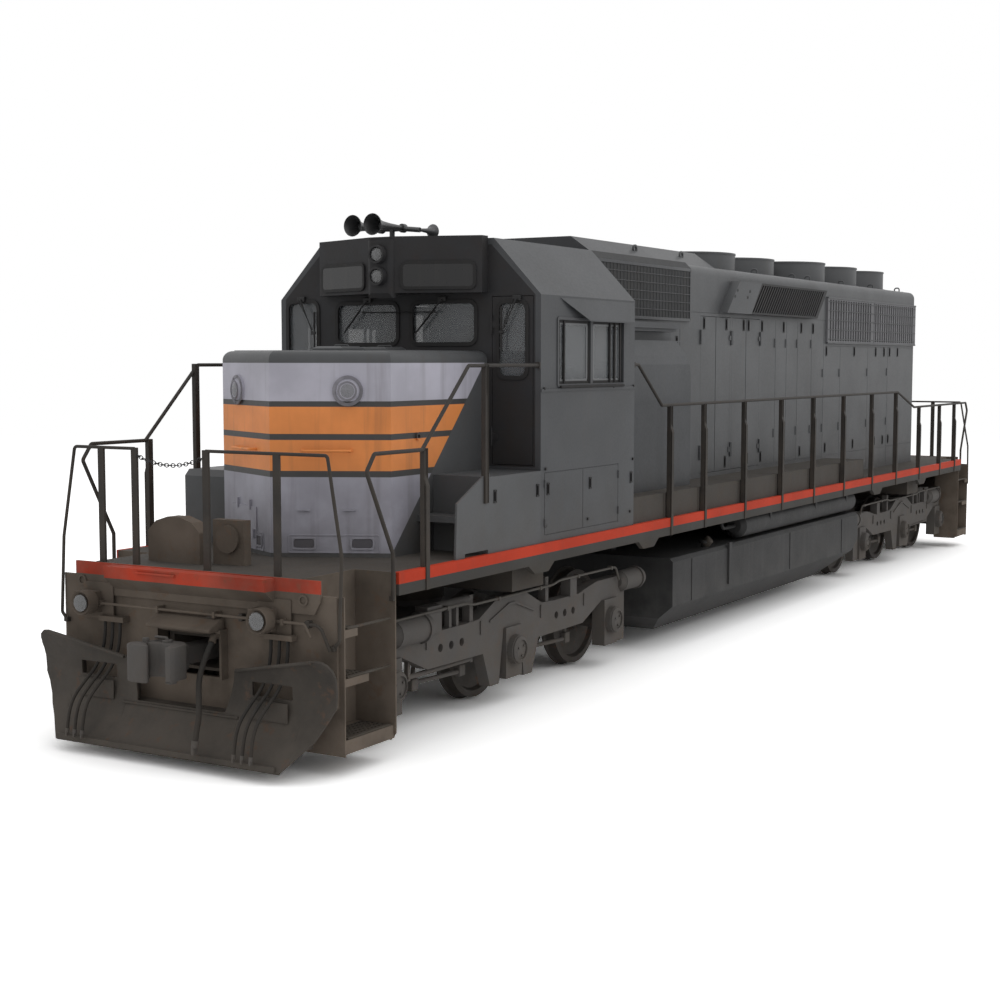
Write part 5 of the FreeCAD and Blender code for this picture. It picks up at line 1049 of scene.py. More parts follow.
    def horn_bell(self, mouth: Point, way: int, length: float, radius: float) -> Thing:
        """Make one bell of the horn, from its throat to its rolled mouth.

        Args:
            mouth: Middle of the mouth.
            way: 1 where it looks ahead, -1 where it looks back.
            length: Length of the bell.
            radius: Radius of the mouth.

        Returns:
            The bell.
        """
        x, y, z = mouth
        (_, throat), (along, wide), *_ = self.bell
        bell = Bench.rod((x - way * length, y, z), (x - way * length * along, y, z), radius * throat, 28,
                         mouth=radius * wide)
        for (here, wide), (there, wider) in zip(self.bell[1:], self.bell[2:]):
            Bench.where("FACE", lambda c, n, at=x - way * length * here: n.x * way > 0.9 and abs(c.x - at) < 0.001)
            bpy.ops.mesh.extrude_region_move(TRANSFORM_OT_translate={"value": (way * length * (here - there), 0, 0)})
            bpy.ops.transform.resize(value=(1, wider / wide, wider / wide), center_override=(x, y, z))
            Bench.done()
        Bench.smooth(0.7)
        return bell

    def horns(self) -> None:
        """Make the three-bell air horn: two bells look ahead and one looks back."""
        bells = [self.horn_bell((6.235, -0.70, 4.630), 1, 0.50, 0.108),
                 self.horn_bell((6.275, -0.43, 4.632), 1, 0.54, 0.108),
                 self.horn_bell((5.54, -0.19, 4.60), -1, 0.24, 0.075)]
        body = [Bench.pipe([(5.735, -0.70, 4.63), (5.725, -0.56, 4.625), (5.735, -0.43, 4.625), (5.78, -0.19, 4.60)],
                           0.026, 0.03),
                Bench.pipe([(5.735, -0.56, 4.625), (5.735, -0.56, 4.445)], 0.028),
                Bench.block((5.66, -0.63, 4.441), (5.81, -0.49, 4.462), 0.005)]
        body += [Bench.rod((5.70, y, z), (5.76, y, z), 0.046, 20, 0.008) for y, z in ((-0.70, 4.63), (-0.43, 4.63))]
        self.add(Bench.join(*bells), "horn_bells", Finishes.HORN)
        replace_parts(self.add(Bench.join(*body), "horn_manifold", Finishes.HORN), "horn")

    def lockers(self) -> None:
        """Fit latches, hinge barrels and small lugs on the lower lockers of both sides."""
        for number, x in enumerate((7.186, 6.403, 6.199, 5.33, 4.40)):
            self.both(Latch.make((x, self.side, self.locker_latch), 0.12), f"locker_latch_{number}", Finishes.BLACK)
        for number, (x, z) in enumerate(((4.704, 1.75), (4.704, 2.12), (6.266, 1.75), (6.266, 2.12))):
            pin = Bench.rod((x, self.side + 0.004, z - 0.04), (x, self.side + 0.004, z + 0.04), 0.010, 10, 0.002)
            self.both(pin, f"locker_hinge_{number}", Finishes.BODY)
        lugs = [Bench.block((x - 0.016, self.side - 0.002, z - 0.014), (x + 0.016, self.side + 0.014, z + 0.014),
                            0.004, 2) for x, z in (
                    (6.28, 3.02), (5.78, 3.035), (4.83, 3.02), (4.36, 3.02), (6.25, 2.262), (6.25, 1.72),
                    (5.38, 1.715), (4.42, 1.715), (4.36, 2.26))]
        self.both(Bench.join(*lugs), "side_lugs", Finishes.BLACK)

    def cushion(self, low: Point, high: Point) -> Thing:
        """Sew a closed cover, fill it until it crowns, and round it off.

        Args:
            low: Lowest corner of the unfilled cover.
            high: Highest corner.

        Returns:
            The cushion.
        """
        pad = Bench.block(low, high, 0.018, 3)
        pad.data.remesh_voxel_size = 0.006
        bpy.ops.object.voxel_remesh()
        start = [spot.co.copy() for spot in pad.data.vertices]
        filling = pad.modifiers.new("filling", "CLOTH")
        filling.settings.use_pressure = True
        filling.settings.uniform_pressure_force = 4.0
        filling.settings.effector_weights.gravity = 0.0
        for step in range(1, 21):
            bpy.context.scene.frame_set(step)
        bpy.ops.object.modifier_apply(modifier=filling.name)
        bpy.context.scene.frame_set(1)
        for spot, before in zip(pad.data.vertices, start):
            move = spot.co - before
            spot.co = before + move * min(1.0, self.swell / max(move.length, 1e-9))
        Bench.apply(pad, "DECIMATE", ratio=0.25)
        Bench.apply(pad, "SUBSURF", levels=1, render_levels=1)
        bpy.ops.object.shade_smooth()
        return pad

    def cushions(self) -> None:
        """Make the seats: filled pads with their welts, on posts with arm rests."""
        lower = self.cushion((4.996, -0.215, 2.652), (5.445, 0.215, 2.728))
        upper = self.cushion((4.952, -0.205, 2.775), (5.016, 0.205, 3.232))
        first = None
        for number, y in enumerate((-0.95, 0.95)):
            for pad, name in ((lower, "seat_cushion"), (upper, "seat_back")):
                twin = self.add(Bench.copy(pad, (0, y, 0)), f"{name}_{number}", Finishes.SEAT)
            edge = [(x, y + side, 2.69) for x, side in (
                (4.992, -0.219), (5.449, -0.219), (5.449, 0.219), (4.992, 0.219), (4.992, -0.219))]
            rim = [(4.984, y + side, z) for side, z in (
                (-0.209, 2.771), (0.209, 2.771), (0.209, 3.236), (-0.209, 3.236), (-0.209, 2.771))]
            welts = Bench.join(Bench.pipe(edge, 0.005, 0.02), Bench.pipe(rim, 0.005, 0.02))
            self.add(welts, f"seat_welt_{number}", Finishes.SEAT)
            parts = [Bench.rod((5.24, y, 2.30), (5.24, y, 2.62), 0.038, 20, 0.004),
                     Bench.block((5.125, y - 0.118, 2.281), (5.355, y + 0.118, 2.300), 0.005),
                     Bench.block((5.02, y - 0.19, 2.616), (5.42, y + 0.19, 2.648), 0.006),
                     Bench.block((4.936, y - 0.03, 2.62), (4.952, y + 0.03, 3.05), 0.004),
                     Bench.block((4.936, y - 0.03, 2.618), (5.10, y + 0.03, 2.634), 0.004)]
            parts += [Bench.pipe([(x, y + side * out, z) for x, out, z in (
                (5.02, 0.20, 2.63), (5.02, 0.232, 2.63), (5.02, 0.232, 2.86), (5.32, 0.232, 2.86))], 0.011, 0.03)
                      for side in (-1, 1)]
            post = self.add(Bench.join(*parts), f"seat_frame_{number}", Finishes.BLACK)
            first = first or post
        for pad in (lower, upper):
            bpy.data.objects.remove(pad)
        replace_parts(first, "cab_seats")

    def controls(self) -> None:
        """Fit gauges, levers, two brake handles and a shelf on the control stand."""
        gauges = [Bench.rod((5.862, y, 3.248), (5.853, y, 3.262), 0.032, 20, 0.003) for y in (-0.64, -0.56, -0.48)]
        self.add(Bench.join(*gauges), "gauges", Finishes.BLACK)
        levers = []
        for z, reach in ((2.98, 0.15), (3.05, 0.12), (3.12, 0.10)):
            tip = (5.752 - reach, -0.54, z + 0.01)
            levers += [Bench.rod((5.752, -0.56, z), tip, 0.009, 10, 0.002),
                       Bench.rod(tip, (tip[0] - 0.05, -0.535, z + 0.012), 0.018, 12, 0.006)]
        for z in (2.78, 2.88):
            levers.append(Bench.pipe([(5.75, -0.48, z), (5.68, -0.48, z), (5.66, -0.40, z + 0.02)], 0.008, 0.02))
        self.add(Bench.join(*levers), "control_levers", Finishes.CHROME)
        self.add(Bench.block((5.60, -0.70, 2.90), (5.752, -0.60, 2.92), 0.004), "desk_shelf", Finishes.CONSOLE)


# ---------------------------------------------------------------- short hood
@dataclass
class NoseFittings(Fittings):
    """Lamps, toe frames, roof strip and sand lids of the short hood, and lamps on the pilot."""

    tip: float = 8.47
    pilot_lamp: float = 1.235
    turn: float = math.radians(28.009)
    lamp_at: Pair = (0.69, 3.02)
    bolts: float = 0.120
    toes: Pair = (0.185, 0.70)

    def on_face(self, side: int, out: float, across: float, height: float) -> Point:
        """Return a point given in a slanted face's own measures."""
        return (self.tip + out * math.cos(self.turn) - across * math.sin(self.turn),
                side * (out * math.sin(self.turn) + across * math.cos(self.turn)), height)

    def build(self) -> None:
        """Make every fitting of the short hood."""
        for side, word in SIDES:
            way = (math.cos(self.turn), side * math.sin(self.turn), 0)
            self.lamp(self.on_face(side, 0.036, *self.lamp_at), way, 0.066, f"nose_lamp_{word}")
            rim = Bench.ring(self.on_face(side, 0.041, *self.lamp_at), way, 0.086, 0.018, 0.006)
            self.add(rim, f"nose_lamp_rim_{word}", Finishes.LAMP_RING)
            bolts = [Bench.ring(self.on_face(side, 0.018, *self.lamp_at), way, 0.134, 0.030, 0.005, 32)]
            for angle in around(8, 0.2):
                spot = (self.lamp_at[0] + self.bolts * math.cos(angle), self.lamp_at[1] + self.bolts * math.sin(angle))
                bolts.append(Bench.rod(self.on_face(side, 0.016, *spot), self.on_face(side, 0.028, *spot),
                                       0.009, 6, 0.001))
            self.add(Bench.join(*bolts), f"nose_lamp_flange_{word}", Finishes.LAMP_RING)
            self.steps(side, word)
        for number, y in enumerate((-1.06, 0.84)):
            z = self.pilot_lamp
            self.lamp((9.716, y, z), (1, 0, 0), 0.072, f"pilot_lamp_{number}")
            plate = Bench.block((9.507, y - 0.15, z - 0.16), (9.521, y + 0.19, z + 0.16), 0.003)
            barrel = Bench.rod((9.60, y, z), (9.722, y, z), 0.104, 32, 0.006)
            Bench.sink((1, 0, 0), 0.026, 0.035)
            Bench.smooth(0.6)
            self.add(Bench.join(plate, barrel), f"pilot_lamp_case_{number}", Finishes.PILOT)
        self.roof()

    def steps(self, side: int, word: str) -> None:
        """Fit the frames of the toe boxes low on a slanted face, and in each a flat dark sheet as painted shade of its
        hole.

        Args:
            side: 1 on the left, -1 on the right.
            word: The side's name.
        """
        def panel(near: float, far: float, low: float, high: float, width: float, out: float) -> Thing:
            """Make a frame or panel flat on the slanted face."""
            start, end = (near, far) if side > 0 else (far, near)
            corner, other = self.on_face(side, out, start, low), self.on_face(side, out, end, low)
            across = tuple(b - a for a, b in zip(corner, other))
            return Bench.frame(corner, across, (0, 0, high - low), width, 0.006, 0.024)

        sheet = [panel(0.15, 0.96, 1.60, 1.765, 0.012, 0.0)]
        sheet += [panel(near, near + 0.215, 1.63, 1.742, 0.016, 0.004) for near in self.toes]
        self.add(Bench.join(*sheet), f"toe_frames_{word}", Finishes.NOSE)
        # Flat dark sheets inside the frames: painted shade of the recessed holes.
        dark = [panel(near + 0.018, near + 0.197, 1.648, 1.724, 0.0, -0.001) for near in self.toes]
        self.add(Bench.join(*dark), f"toe_hole_shade_{word}", Finishes.TOE)

    def roof(self) -> None:
        """Lay the roof strip and the two sand lids on the short hood."""
        strip = Bench.block((6.36, -0.86, 3.366), (7.9, 0.86, 3.376), 0.003)
        Bench.edit()
        bpy.ops.mesh.bisect(plane_co=(7.2, 0, 3.37), plane_no=(1, 0, 0))
        Bench.done()
        self.add(strip, "roof_strip", Finishes.BODY)
        for number, x in enumerate((6.75, 7.45)):
            lid = Bench.block((x - 0.17, -0.17, 3.374), (x + 0.17, 0.17, 3.398), 0.006, 2)
            Bench.sink((0, 0, 1), 0.03, -0.006)
            handle = Bench.pipe([(x - 0.05, y, z) for y, z in (
                (-0.08, 3.39), (-0.08, 3.425), (0.08, 3.425), (0.08, 3.39))], 0.006, 0.012)
            self.add(Bench.join(lid, handle), f"sand_lid_{number}", Finishes.BODY)


# ---------------------------------------------------------------- long hood
FANS = ((-0.36, 4.676), (-1.79, 4.676), (-3.93, 4.736), (-5.44, 4.736), (-6.85, 4.736))


@dataclass
class HoodFittings(Fittings):
    """Pulls, hinges, grille bars, screens, plugs, fan gratings and roof seams of the long hood."""

    half: float = 0.93
    pull: float = 0.15
    door_head: float = 3.74
    panel_head: float = 3.42
    foot: float = 2.00
    leaves: tuple[float, ...] = (1.14, 0.43, -0.15, -0.32)
    tall_panels: tuple[float, ...] = (-0.80, -1.61, -2.31, -2.80)
    short_panels: tuple[float, ...] = (-3.39, -4.68, -5.76, -6.2, -6.5, -6.94)
    seams: tuple[float, ...] = (-1.075, -2.52, -3.17, -4.685, -6.145, -7.60)

    def build(self) -> None:
        """Make every fitting of the hood."""
        self.latches()
        self.hinge_pins()
        self.radiator_bars()
        self.screens()
        self.plugs()
        self.gratings()
        self.cap_seams()

    def latches(self) -> None:
        """Fit a pull near the top and the foot of every door and panel, on both sides."""
        model = Latch.make((0.0, self.half, 0.0), self.pull)
        tall, short = (self.door_head, self.foot), (self.panel_head, self.foot)
        spots = [(x, z, door) for door, x in enumerate(self.leaves, 1) for z in tall]
        spots += [(x, z, 0) for x in self.tall_panels for z in tall]
        spots += [(x, z, 0) for x in self.short_panels for z in short]
        spots += [(1.95, 3.5, 0), (1.95, 2.9, 0)]
        for number, (x, z, door) in enumerate(spots):
            for side, word in SIDES:
                twin = Bench.copy(model, (x, 0, z), None if side > 0 else Axis.Y)
                body = f"{word}_hood_door_{door}" if door else "frame"
                self.add(twin, f"pull_{word}_{number}", Finishes.BLACK, body)
        fore = [(x, z) for z in (3.5, self.foot) for x in (2.5, 2.9, 3.2, 3.58)]
        for number, (x, z) in enumerate(fore):
            self.add(Bench.copy(model, (x, 0, z), Axis.Y), f"pull_fore_{number}", Finishes.BLACK)
        bpy.data.objects.remove(model)

    def hinge_pins(self) -> None:
        """Fit hinge barrels along the seams of the fixed panels."""
        pins = []
        for x in (-1.31, -1.73, -2.17, -2.75, -3.27, -4.02, -5.36, -6.40):
            for z in ((3.52, 2.30) if x > -3.0 else (3.10, 2.30)):
                pins.append(Bench.rod((x + 0.045, self.half + 0.003, z - 0.06),
                                      (x + 0.045, self.half + 0.003, z + 0.06), 0.011, 10, 0.002))
        self.both(Bench.join(*pins), "panel_hinges", Finishes.BODY)

    def radiator_bars(self) -> None:
        """Lay thin bars along the radiator grilles, between their rims."""
        bars = [Bench.rod((-3.38, self.half + 0.030, z), (-7.83, self.half + 0.030, z), 0.007, 8)
                for z in (3.60, 3.74, 3.88, 4.02, 4.15)]
        self.both(Bench.join(*bars), "radiator_bars", Finishes.BAR)
        edge = [Bench.block((-7.85, self.half + 0.002, z - 0.012), (-3.35, self.half + 0.038, z + 0.012), 0.004)
                for z in (3.545, 4.205)]
        self.both(Bench.join(*edge), "radiator_rims", Finishes.BODY)

    def screens(self) -> None:
        """Fit the woven bars and the frame of the air intake screens."""
        bars = [Bench.rod((x, self.half + 0.022, 3.765), (x, self.half + 0.022, 4.37), 0.005, 6)
                for x in (1.63 + 0.085 * step for step in range(32))]
        bars += [Bench.rod((1.61, self.half + 0.026, z), (4.31, self.half + 0.026, z), 0.005, 6)
                 for z in (3.87, 3.97, 4.07, 4.17, 4.27)]
        self.both(Bench.join(*bars), "intake_bars", Finishes.BAR)
        rim = Bench.frame((4.322, self.half + 0.020, 3.75), (-2.722, 0, 0), (0, 0, 0.63), 0.035, 0.010, 0.02)
        self.both(rim, "intake_rim", Finishes.BODY)

    def plugs(self) -> None:
        """Fit four small dark plugs in the blank panel of each brake housing."""
        for number, (x, z) in enumerate(((0.359, 4.17), (0.442, 4.092), (-0.058, 4.168), (0.019, 4.091))):
            plug = Bench.rod((x, 1.049, z), (x, 1.054, z), 0.020, 16, 0.002)
            Bench.sink((0, 1, 0), 0.005, 0.003)
            self.both(plug, f"housing_plug_{number}", Finishes.BLACK)

    def gratings(self) -> None:
        """Lay a ringed grating just inside the top of each fan shroud."""
        for number, (x, top) in enumerate(FANS, 1):
            parts = []
            for radius in (0.12, 0.23, 0.34, 0.45, 0.56, 0.635):
                Bench.rest()
                bpy.ops.mesh.primitive_torus_add(major_radius=radius, minor_radius=0.005, major_segments=40,
                                                 minor_segments=5, location=(x, 0, top))
                bpy.ops.object.transform_apply(location=True, rotation=False, scale=False)
                parts.append(bpy.context.object)
            for angle in around(8, 0.2):
                parts.append(Bench.block((x + 0.08, -0.006, top - 0.006), (x + 0.641, 0.006, top + 0.006), 0.002))
                parts[-1].data.transform(Matrix.Translation((x, 0, 0)) @ Matrix.Rotation(angle, 4, "Z")
                                         @ Matrix.Translation((-x, 0, 0)))
            parts.append(Bench.rod((x, 0, top - 0.008), (x, 0, top + 0.008), 0.12, 24, 0.004))
            self.add(Bench.join(*parts), f"fan_grating_{number}", Finishes.BAR)

    def cap_seams(self) -> None:
        """Fit the raised seams and lifting eyes across the roof, and the plate that closes its rear end."""
        for number, x in enumerate(self.seams):
            seam = Bench.block((x - 0.018, -0.80, 4.438), (x + 0.018, 0.80, 4.447), 0.003)
            eye = Bench.pipe([(x, y, z) for y, z in ((-0.74, 4.44), (-0.74, 4.51), (-0.66, 4.51), (-0.66, 4.44))],
                             0.011, 0.03)
            twin = Bench.copy(eye, flip=Axis.Y)
            self.add(Bench.join(seam, eye, twin), f"roof_seam_{number}", Finishes.BODY)
        outline = ((-0.884, 4.291), (0.884, 4.291), (0.884, 4.394), (-0.884, 4.394))
        plate = Bench.slab(outline, -7.848, -7.818, Axis.X, 0.003)
        strap = Bench.block((-7.856, -0.86, 4.330), (-7.846, 0.86, 4.354), 0.003)
        self.add(Bench.join(plate, strap), "roof_end_plate", Finishes.BODY)


# ---------------------------------------------------------------- rails, steps and pilots
@dataclass
class PostFittings(Fittings):
    """Rolled channels of the side handrail posts and of the two posts beside the short hood."""

    inner: float = 1.500
    outer: float = 1.546
    foot: float = 1.52
    heads: Pairs = (
        (3.42, 2.80), (2.49, 2.80), (1.27, 2.80), (0.01, 2.80), (-1.19, 2.80), (-2.44, 2.80), (-3.73, 2.80),
        (-4.93, 2.80), (-6.20, 2.545), (-7.41, 2.545), (-8.34, 2.545), (8.34, 2.545))

    def build(self) -> None:
        """Make a channel for each post of both sides."""
        channels = [self.channel(x, self.foot, head) for x, head in self.heads]
        self.both(Bench.join(*channels), "post_channels", Finishes.RAIL)
        for word, x, foot, flip in (("left", 7.35, 2.02, None), ("right", 7.68, 1.90, Axis.Y)):
            post = self.channel(x, foot, 3.24)
            twin = Bench.copy(post, flip=flip)
            bpy.data.objects.remove(post)
            self.add(twin, f"nose_post_{word}", Finishes.RAIL)

    def channel(self, x: float, foot: float, head: float) -> Thing:
        """Make one channel, open outwards."""
        post = Bench.block((x - 0.031, self.inner, foot), (x + 0.031, self.outer, head + 0.012), 0.003)
        Bench.sink((0, 1, 0), 0.011, 0.022)
        return post


@dataclass
class PlatformFittings(Fittings):
    """Chains between the end rails, uncoupling levers, strikers, step nosings and treads."""

    end: float = 9.45
    steps: Pairs = ((0.30, 0.60), (0.79, 0.29), (1.18, 0.15))

    def build(self) -> None:
        """Make the fittings of both ends."""
        for word, sign in (("front", 1), ("rear", -1)):
            self.chain(f"{word}_chain", sign * self.end, 2.49)
            self.lever(word, sign)
            self.striker(word, sign)
        self.nosings()
        self.treads()

    def chain(self, name: str, x: float, height: float) -> None:
        """Hang a chain of oval links across the gap between two posts.

        Args:
            name: Name of the chain.
            x: Where it hangs.
            height: Height of its ends.
        """
        low, high, sag, count = -0.64, 0.10, 0.075, 21
        links = []
        for step in range(count):
            share = (step + 0.5) / count
            y = low + (high - low) * share
            z = height - sag * 4 * share * (1 - share)
            slope = math.atan(-sag * 4 * (1 - 2 * share) / (high - low))
            Bench.rest()
            bpy.ops.mesh.primitive_torus_add(major_radius=0.017, minor_radius=0.0042, major_segments=8,
                                             minor_segments=5)
            ring = bpy.context.object
            stretch = Matrix.Diagonal((1.0, 1.45, 1.0, 1.0))
            roll = Matrix.Rotation(math.pi / 2 * (step % 2), 4, "Y")
            ring.data.transform(Matrix.Translation((x, y, z)) @ Matrix.Rotation(slope, 4, "X") @ roll @ stretch)
            links.append(ring)
        hooks = [Bench.pipe([(x, side, height + 0.008), (x, side + inward * 0.02, height + 0.01),
                             (x, side + inward * 0.03, height - 0.012)], 0.006, 0.008)
                 for side, inward in ((low - 0.01, 1), (high + 0.01, -1))]
        self.add(Bench.join(*links, *hooks), name, Finishes.BLACK)

    def nosings(self) -> None:
        """Fit a ribbed nosing to the front edge of each step."""
        ribs = []
        for z, _ in self.steps:
            ribs.append(Bench.block((8.80, 1.455, z), (9.40, 1.495, z + 0.012), 0.003))
            Bench.sink((0, 0, 1), 0.007, -0.004)
        model = Bench.join(*ribs)
        twin = Bench.copy(model, flip=Axis.X)
        self.both(model, "front_nosings", Finishes.STEP)
        self.both(twin, "rear_nosings", Finishes.STEP)

    def striker(self, word: str, sign: int) -> None:
        """Fit the slanted striker casting over the coupler.

        Args:
            word: Name of the end.
            sign: 1 at the front, -1 at the rear.
        """
        outline = [(sign * x, z) for x, z in (
            (9.507, 1.092), (9.70, 1.092), (9.70, 1.120), (9.535, 1.196), (9.507, 1.196))]
        self.add(Bench.slab(outline, -0.34, 0.34, Axis.Y, 0.008), f"{word}_striker", Finishes.PILOT)

    def treads(self) -> None:
        """Lay a perforated tread on each step."""
        for number, (top, depth) in enumerate(self.steps):
            Bench.rest()
            bpy.ops.mesh.primitive_grid_add(x_subdivisions=max(4, round(depth / 0.05)), y_subdivisions=5, size=1,
                                            location=(9.41 - depth / 2, 1.325, top + 0.002))
            sheet = bpy.context.object
            sheet.scale = (depth, 0.25, 1)
            bpy.ops.object.transform_apply(location=True, rotation=False, scale=True)
            Bench.edit()
            bpy.ops.mesh.inset(thickness=0.013, use_individual=True)
            bpy.ops.mesh.delete(type="FACE")
            Bench.done()
            tread = Bench.thicken(sheet, 0.008)
            twin = Bench.copy(tread, flip=Axis.X)
            self.both(tread, f"front_tread_{number}", Finishes.STEP)
            self.both(twin, f"rear_tread_{number}", Finishes.STEP)

    def lever(self, word: str, sign: int) -> None:
        """Fit the uncoupling lever across an end plate, on its brackets.

        Args:
            word: Name of the end.
            sign: 1 at the front, -1 at the rear.
        """
        near, x = sign * 9.53, sign * 9.53 + sign * 0.02
        bar = Bench.pipe([(near, 1.42, 1.02), (x, 1.34, 1.22), (x, 0.30, 1.22), (x, 0.12, 1.16)], 0.014, 0.05)
        low, high = sorted((sign * 9.508, near + sign * 0.035))
        brackets = [Bench.block((low, y - 0.02, 1.19), (high, y + 0.02, 1.25), 0.005) for y in (1.22, 0.55)]
        self.add(Bench.join(bar, *brackets), f"{word}_lever", Finishes.RAIL)


@dataclass
class PlowFittings(Fittings):
    """The bent blade of the snow plow with its hose windows, wear pads, lips, shelf and arms."""

    plane: float = 9.66
    thick: float = 0.024
    half: Pairs = (
        (1.185, 0.10), (1.40, 0.34), (1.55, 0.60), (1.565, 0.84), (1.556, 0.895), (1.53, 0.935), (1.49, 0.962),
        (1.43, 0.968), (0.56, 0.80), (0.47, 0.46))
    profile: Pairs = (
        (0.10, 9.935), (0.18, 9.872), (0.26, 9.808), (0.34, 9.755), (0.42, 9.712), (0.52, 9.678), (0.62, 9.662),
        (0.73, 9.664), (0.80, 9.680), (0.88, 9.712), (0.97, 9.765))
    window: tuple[float, float, float, float] = (0.73, 1.13, 0.62, 0.73)

    def reach(self, height: float) -> float:
        """Return how far forward the blade's face stands.

        Args:
            height: Height above the floor.

        Returns:
            Its place along X.
        """
        for (low, near), (high, far) in zip(self.profile, self.profile[1:]):
            if height <= high:
                return near + (far - near) * (height - low) / (high - low)
        return self.profile[-1][1]

    def build(self) -> None:
        """Make the plow."""
        blade = self.blade()
        extras = []
        for side in (-1, 1):
            lip = ((0.60, 0.81), (1.00, 0.887), (1.40, 0.962))
            extras.append(Bench.pipe([(self.reach(z) + 0.002, side * y, z + 0.004) for y, z in lip], 0.015))
            face = self.reach(0.52)
            pad = Bench.block((face + 0.002, 0.72, 0.44), (face + 0.018, 1.12, 0.60), 0.005)
            pad.data.transform(Matrix.Diagonal((1, side, 1, 1)))
            Bench.edit()
            Bench.face_out()
            extras.append(pad)
            for y in (0.60, 1.22):
                outline = [(9.507, 0.22), (9.80, 0.22), (9.70, 0.40), (9.63, 0.55), (9.63, 0.72), (9.507, 0.72)]
                extras.append(Bench.slab(outline, side * y - 0.010, side * y + 0.010, Axis.Y, 0.0))
        extras.append(Bench.block((9.50, -0.62, 0.425), (9.70, 0.62, 0.445), 0.004))
        foot = self.reach(0.14)
        extras.append(Bench.block((foot, -1.16, 0.105), (foot + 0.022, 1.16, 0.150), 0.004))
        arms = self.add(Bench.join(*extras), "plow_fittings", Finishes.PLOW)
        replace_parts(arms, "snow_plow")
        self.add(blade, "plow_blade", Finishes.PLOW)

    def blade(self) -> Thing:
        """Cut the blade, bend it to its profile and give it its thickness.

        Returns:
            The blade.
        """
        outline = [(self.plane, y, z) for y, z in self.half]
        outline += [(self.plane, -y, z) for y, z in reversed(self.half)]
        sheet = Bench.sheet(outline)
        near, far, low, high = self.window
        bpy.ops.object.mode_set(mode="EDIT")
        between = (0.14, 0.22, 0.30, 0.38, 0.47, 0.57, 0.67, 0.765, 0.84, 0.92)
        for height in [z for z, _ in self.profile[1:-1]] + list(between):
            bpy.ops.mesh.select_all(action="SELECT")
            bpy.ops.mesh.bisect(plane_co=(self.plane, 0, height), plane_no=(0, 0, 1))
        for across in (-far, -near, near, far):
            bpy.ops.mesh.select_all(action="SELECT")
            bpy.ops.mesh.bisect(plane_co=(self.plane, across, 0), plane_no=(0, 1, 0))
        Bench.done()
        Bench.where("FACE", lambda c, n: near < abs(c.y) < far and low < c.z < high)
        bpy.ops.mesh.delete(type="FACE")
        Bench.done()
        for height in sorted({round(spot.co.z, 4) for spot in sheet.data.vertices}):
            Bench.where("VERT", lambda place, at=height: abs(place.z - at) < 0.0002)
            bpy.ops.transform.translate(value=(self.reach(height) - self.plane, 0, 0))
            Bench.done()
        blade = Bench.thicken(sheet, self.thick, 0.004)
        blade.data.transform(Matrix.Translation((-self.thick, 0, 0)))
        Bench.smooth(0.5)
        return blade


@dataclass
class CouplerFittings(Fittings):
    """The cast head, knuckle, guard arm, shank and lock lever of one coupler."""

    face: float = 10.02
    middle: float = 0.88
    head: Pairs = (
        (0.30, 0.085), (0.28, 0.13), (0.20, 0.205), (0.05, 0.222), (0.008, 0.205), (0.012, 0.145), (0.06, 0.135),
        (0.145, 0.09), (0.155, -0.05), (0.115, -0.11), (0.13, -0.205), (0.20, -0.20), (0.28, -0.175), (0.30, -0.085))
    guard: Pairs = ((0.075, 0.218), (0.008, 0.205), (0.012, 0.145), (0.075, 0.13))
    knuckle: Pairs = (
        (0.150, -0.19), (0.125, -0.255), (0.070, -0.285), (0.022, -0.272), (0.002, -0.225), (0.002, -0.095),
        (0.022, -0.055), (0.056, -0.060), (0.070, -0.115), (0.110, -0.130))

    def build(self) -> None:
        """Make the coupler at the front, and turn it round for the rear."""
        face, z = self.face, self.middle

        def cast(outline: Sequence[Pair], low: float, high: float, edge: float) -> Thing:
            """Make a slab of an outline whose x counts back from the face."""
            return Bench.slab([(face - x, y) for x, y in outline], z + low, z + high, Axis.Z, edge)

        head = cast(self.head, -0.15, 0.13, 0.012)
        guard = cast(self.guard, -0.165, 0.115, 0.008)
        Bench.sink((1, 0, 0), 0.014, 0.02, lambda c: 0.14 < c.y < 0.21)
        knuckle = cast(self.knuckle, -0.185, 0.130, 0.020)
        pin = Bench.rod((face - 0.135, -0.165, z - 0.175), (face - 0.135, -0.165, z + 0.165), 0.028, 16, 0.006)
        eye = Bench.ring((9.06, 0, z - 0.085), (0, 0, 1), 0.090, 0.040, 0.165, 32)
        shank = Bench.block((9.142, -0.068, z - 0.080), (face - 0.27, 0.068, z + 0.080), 0.016, 3)
        collar = Bench.block((face - 0.36, -0.095, z - 0.11), (face - 0.285, 0.095, z + 0.10), 0.014, 3)
        lift = Bench.pipe([(face - 0.21, 0.0, z + 0.12), (face - 0.21, 0.0, z + 0.165),
                           (face - 0.21, -0.13, z + 0.165), (face - 0.26, -0.16, z + 0.150)], 0.012, 0.02)
        boss = Bench.rod((face - 0.21, 0, z + 0.12), (face - 0.21, 0, z + 0.150), 0.042, 20, 0.006)
        whole = Bench.join(head, guard, knuckle, pin, eye, shank, collar, lift, boss)
        for axis in (Axis.X, Axis.Y) if self.body.startswith("rear") else ():
            first, whole = whole, Bench.copy(whole, flip=axis)
            bpy.data.objects.remove(first)
        self.add(whole, self.body + "_casting", Finishes.CAST)
        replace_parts(whole, self.body)


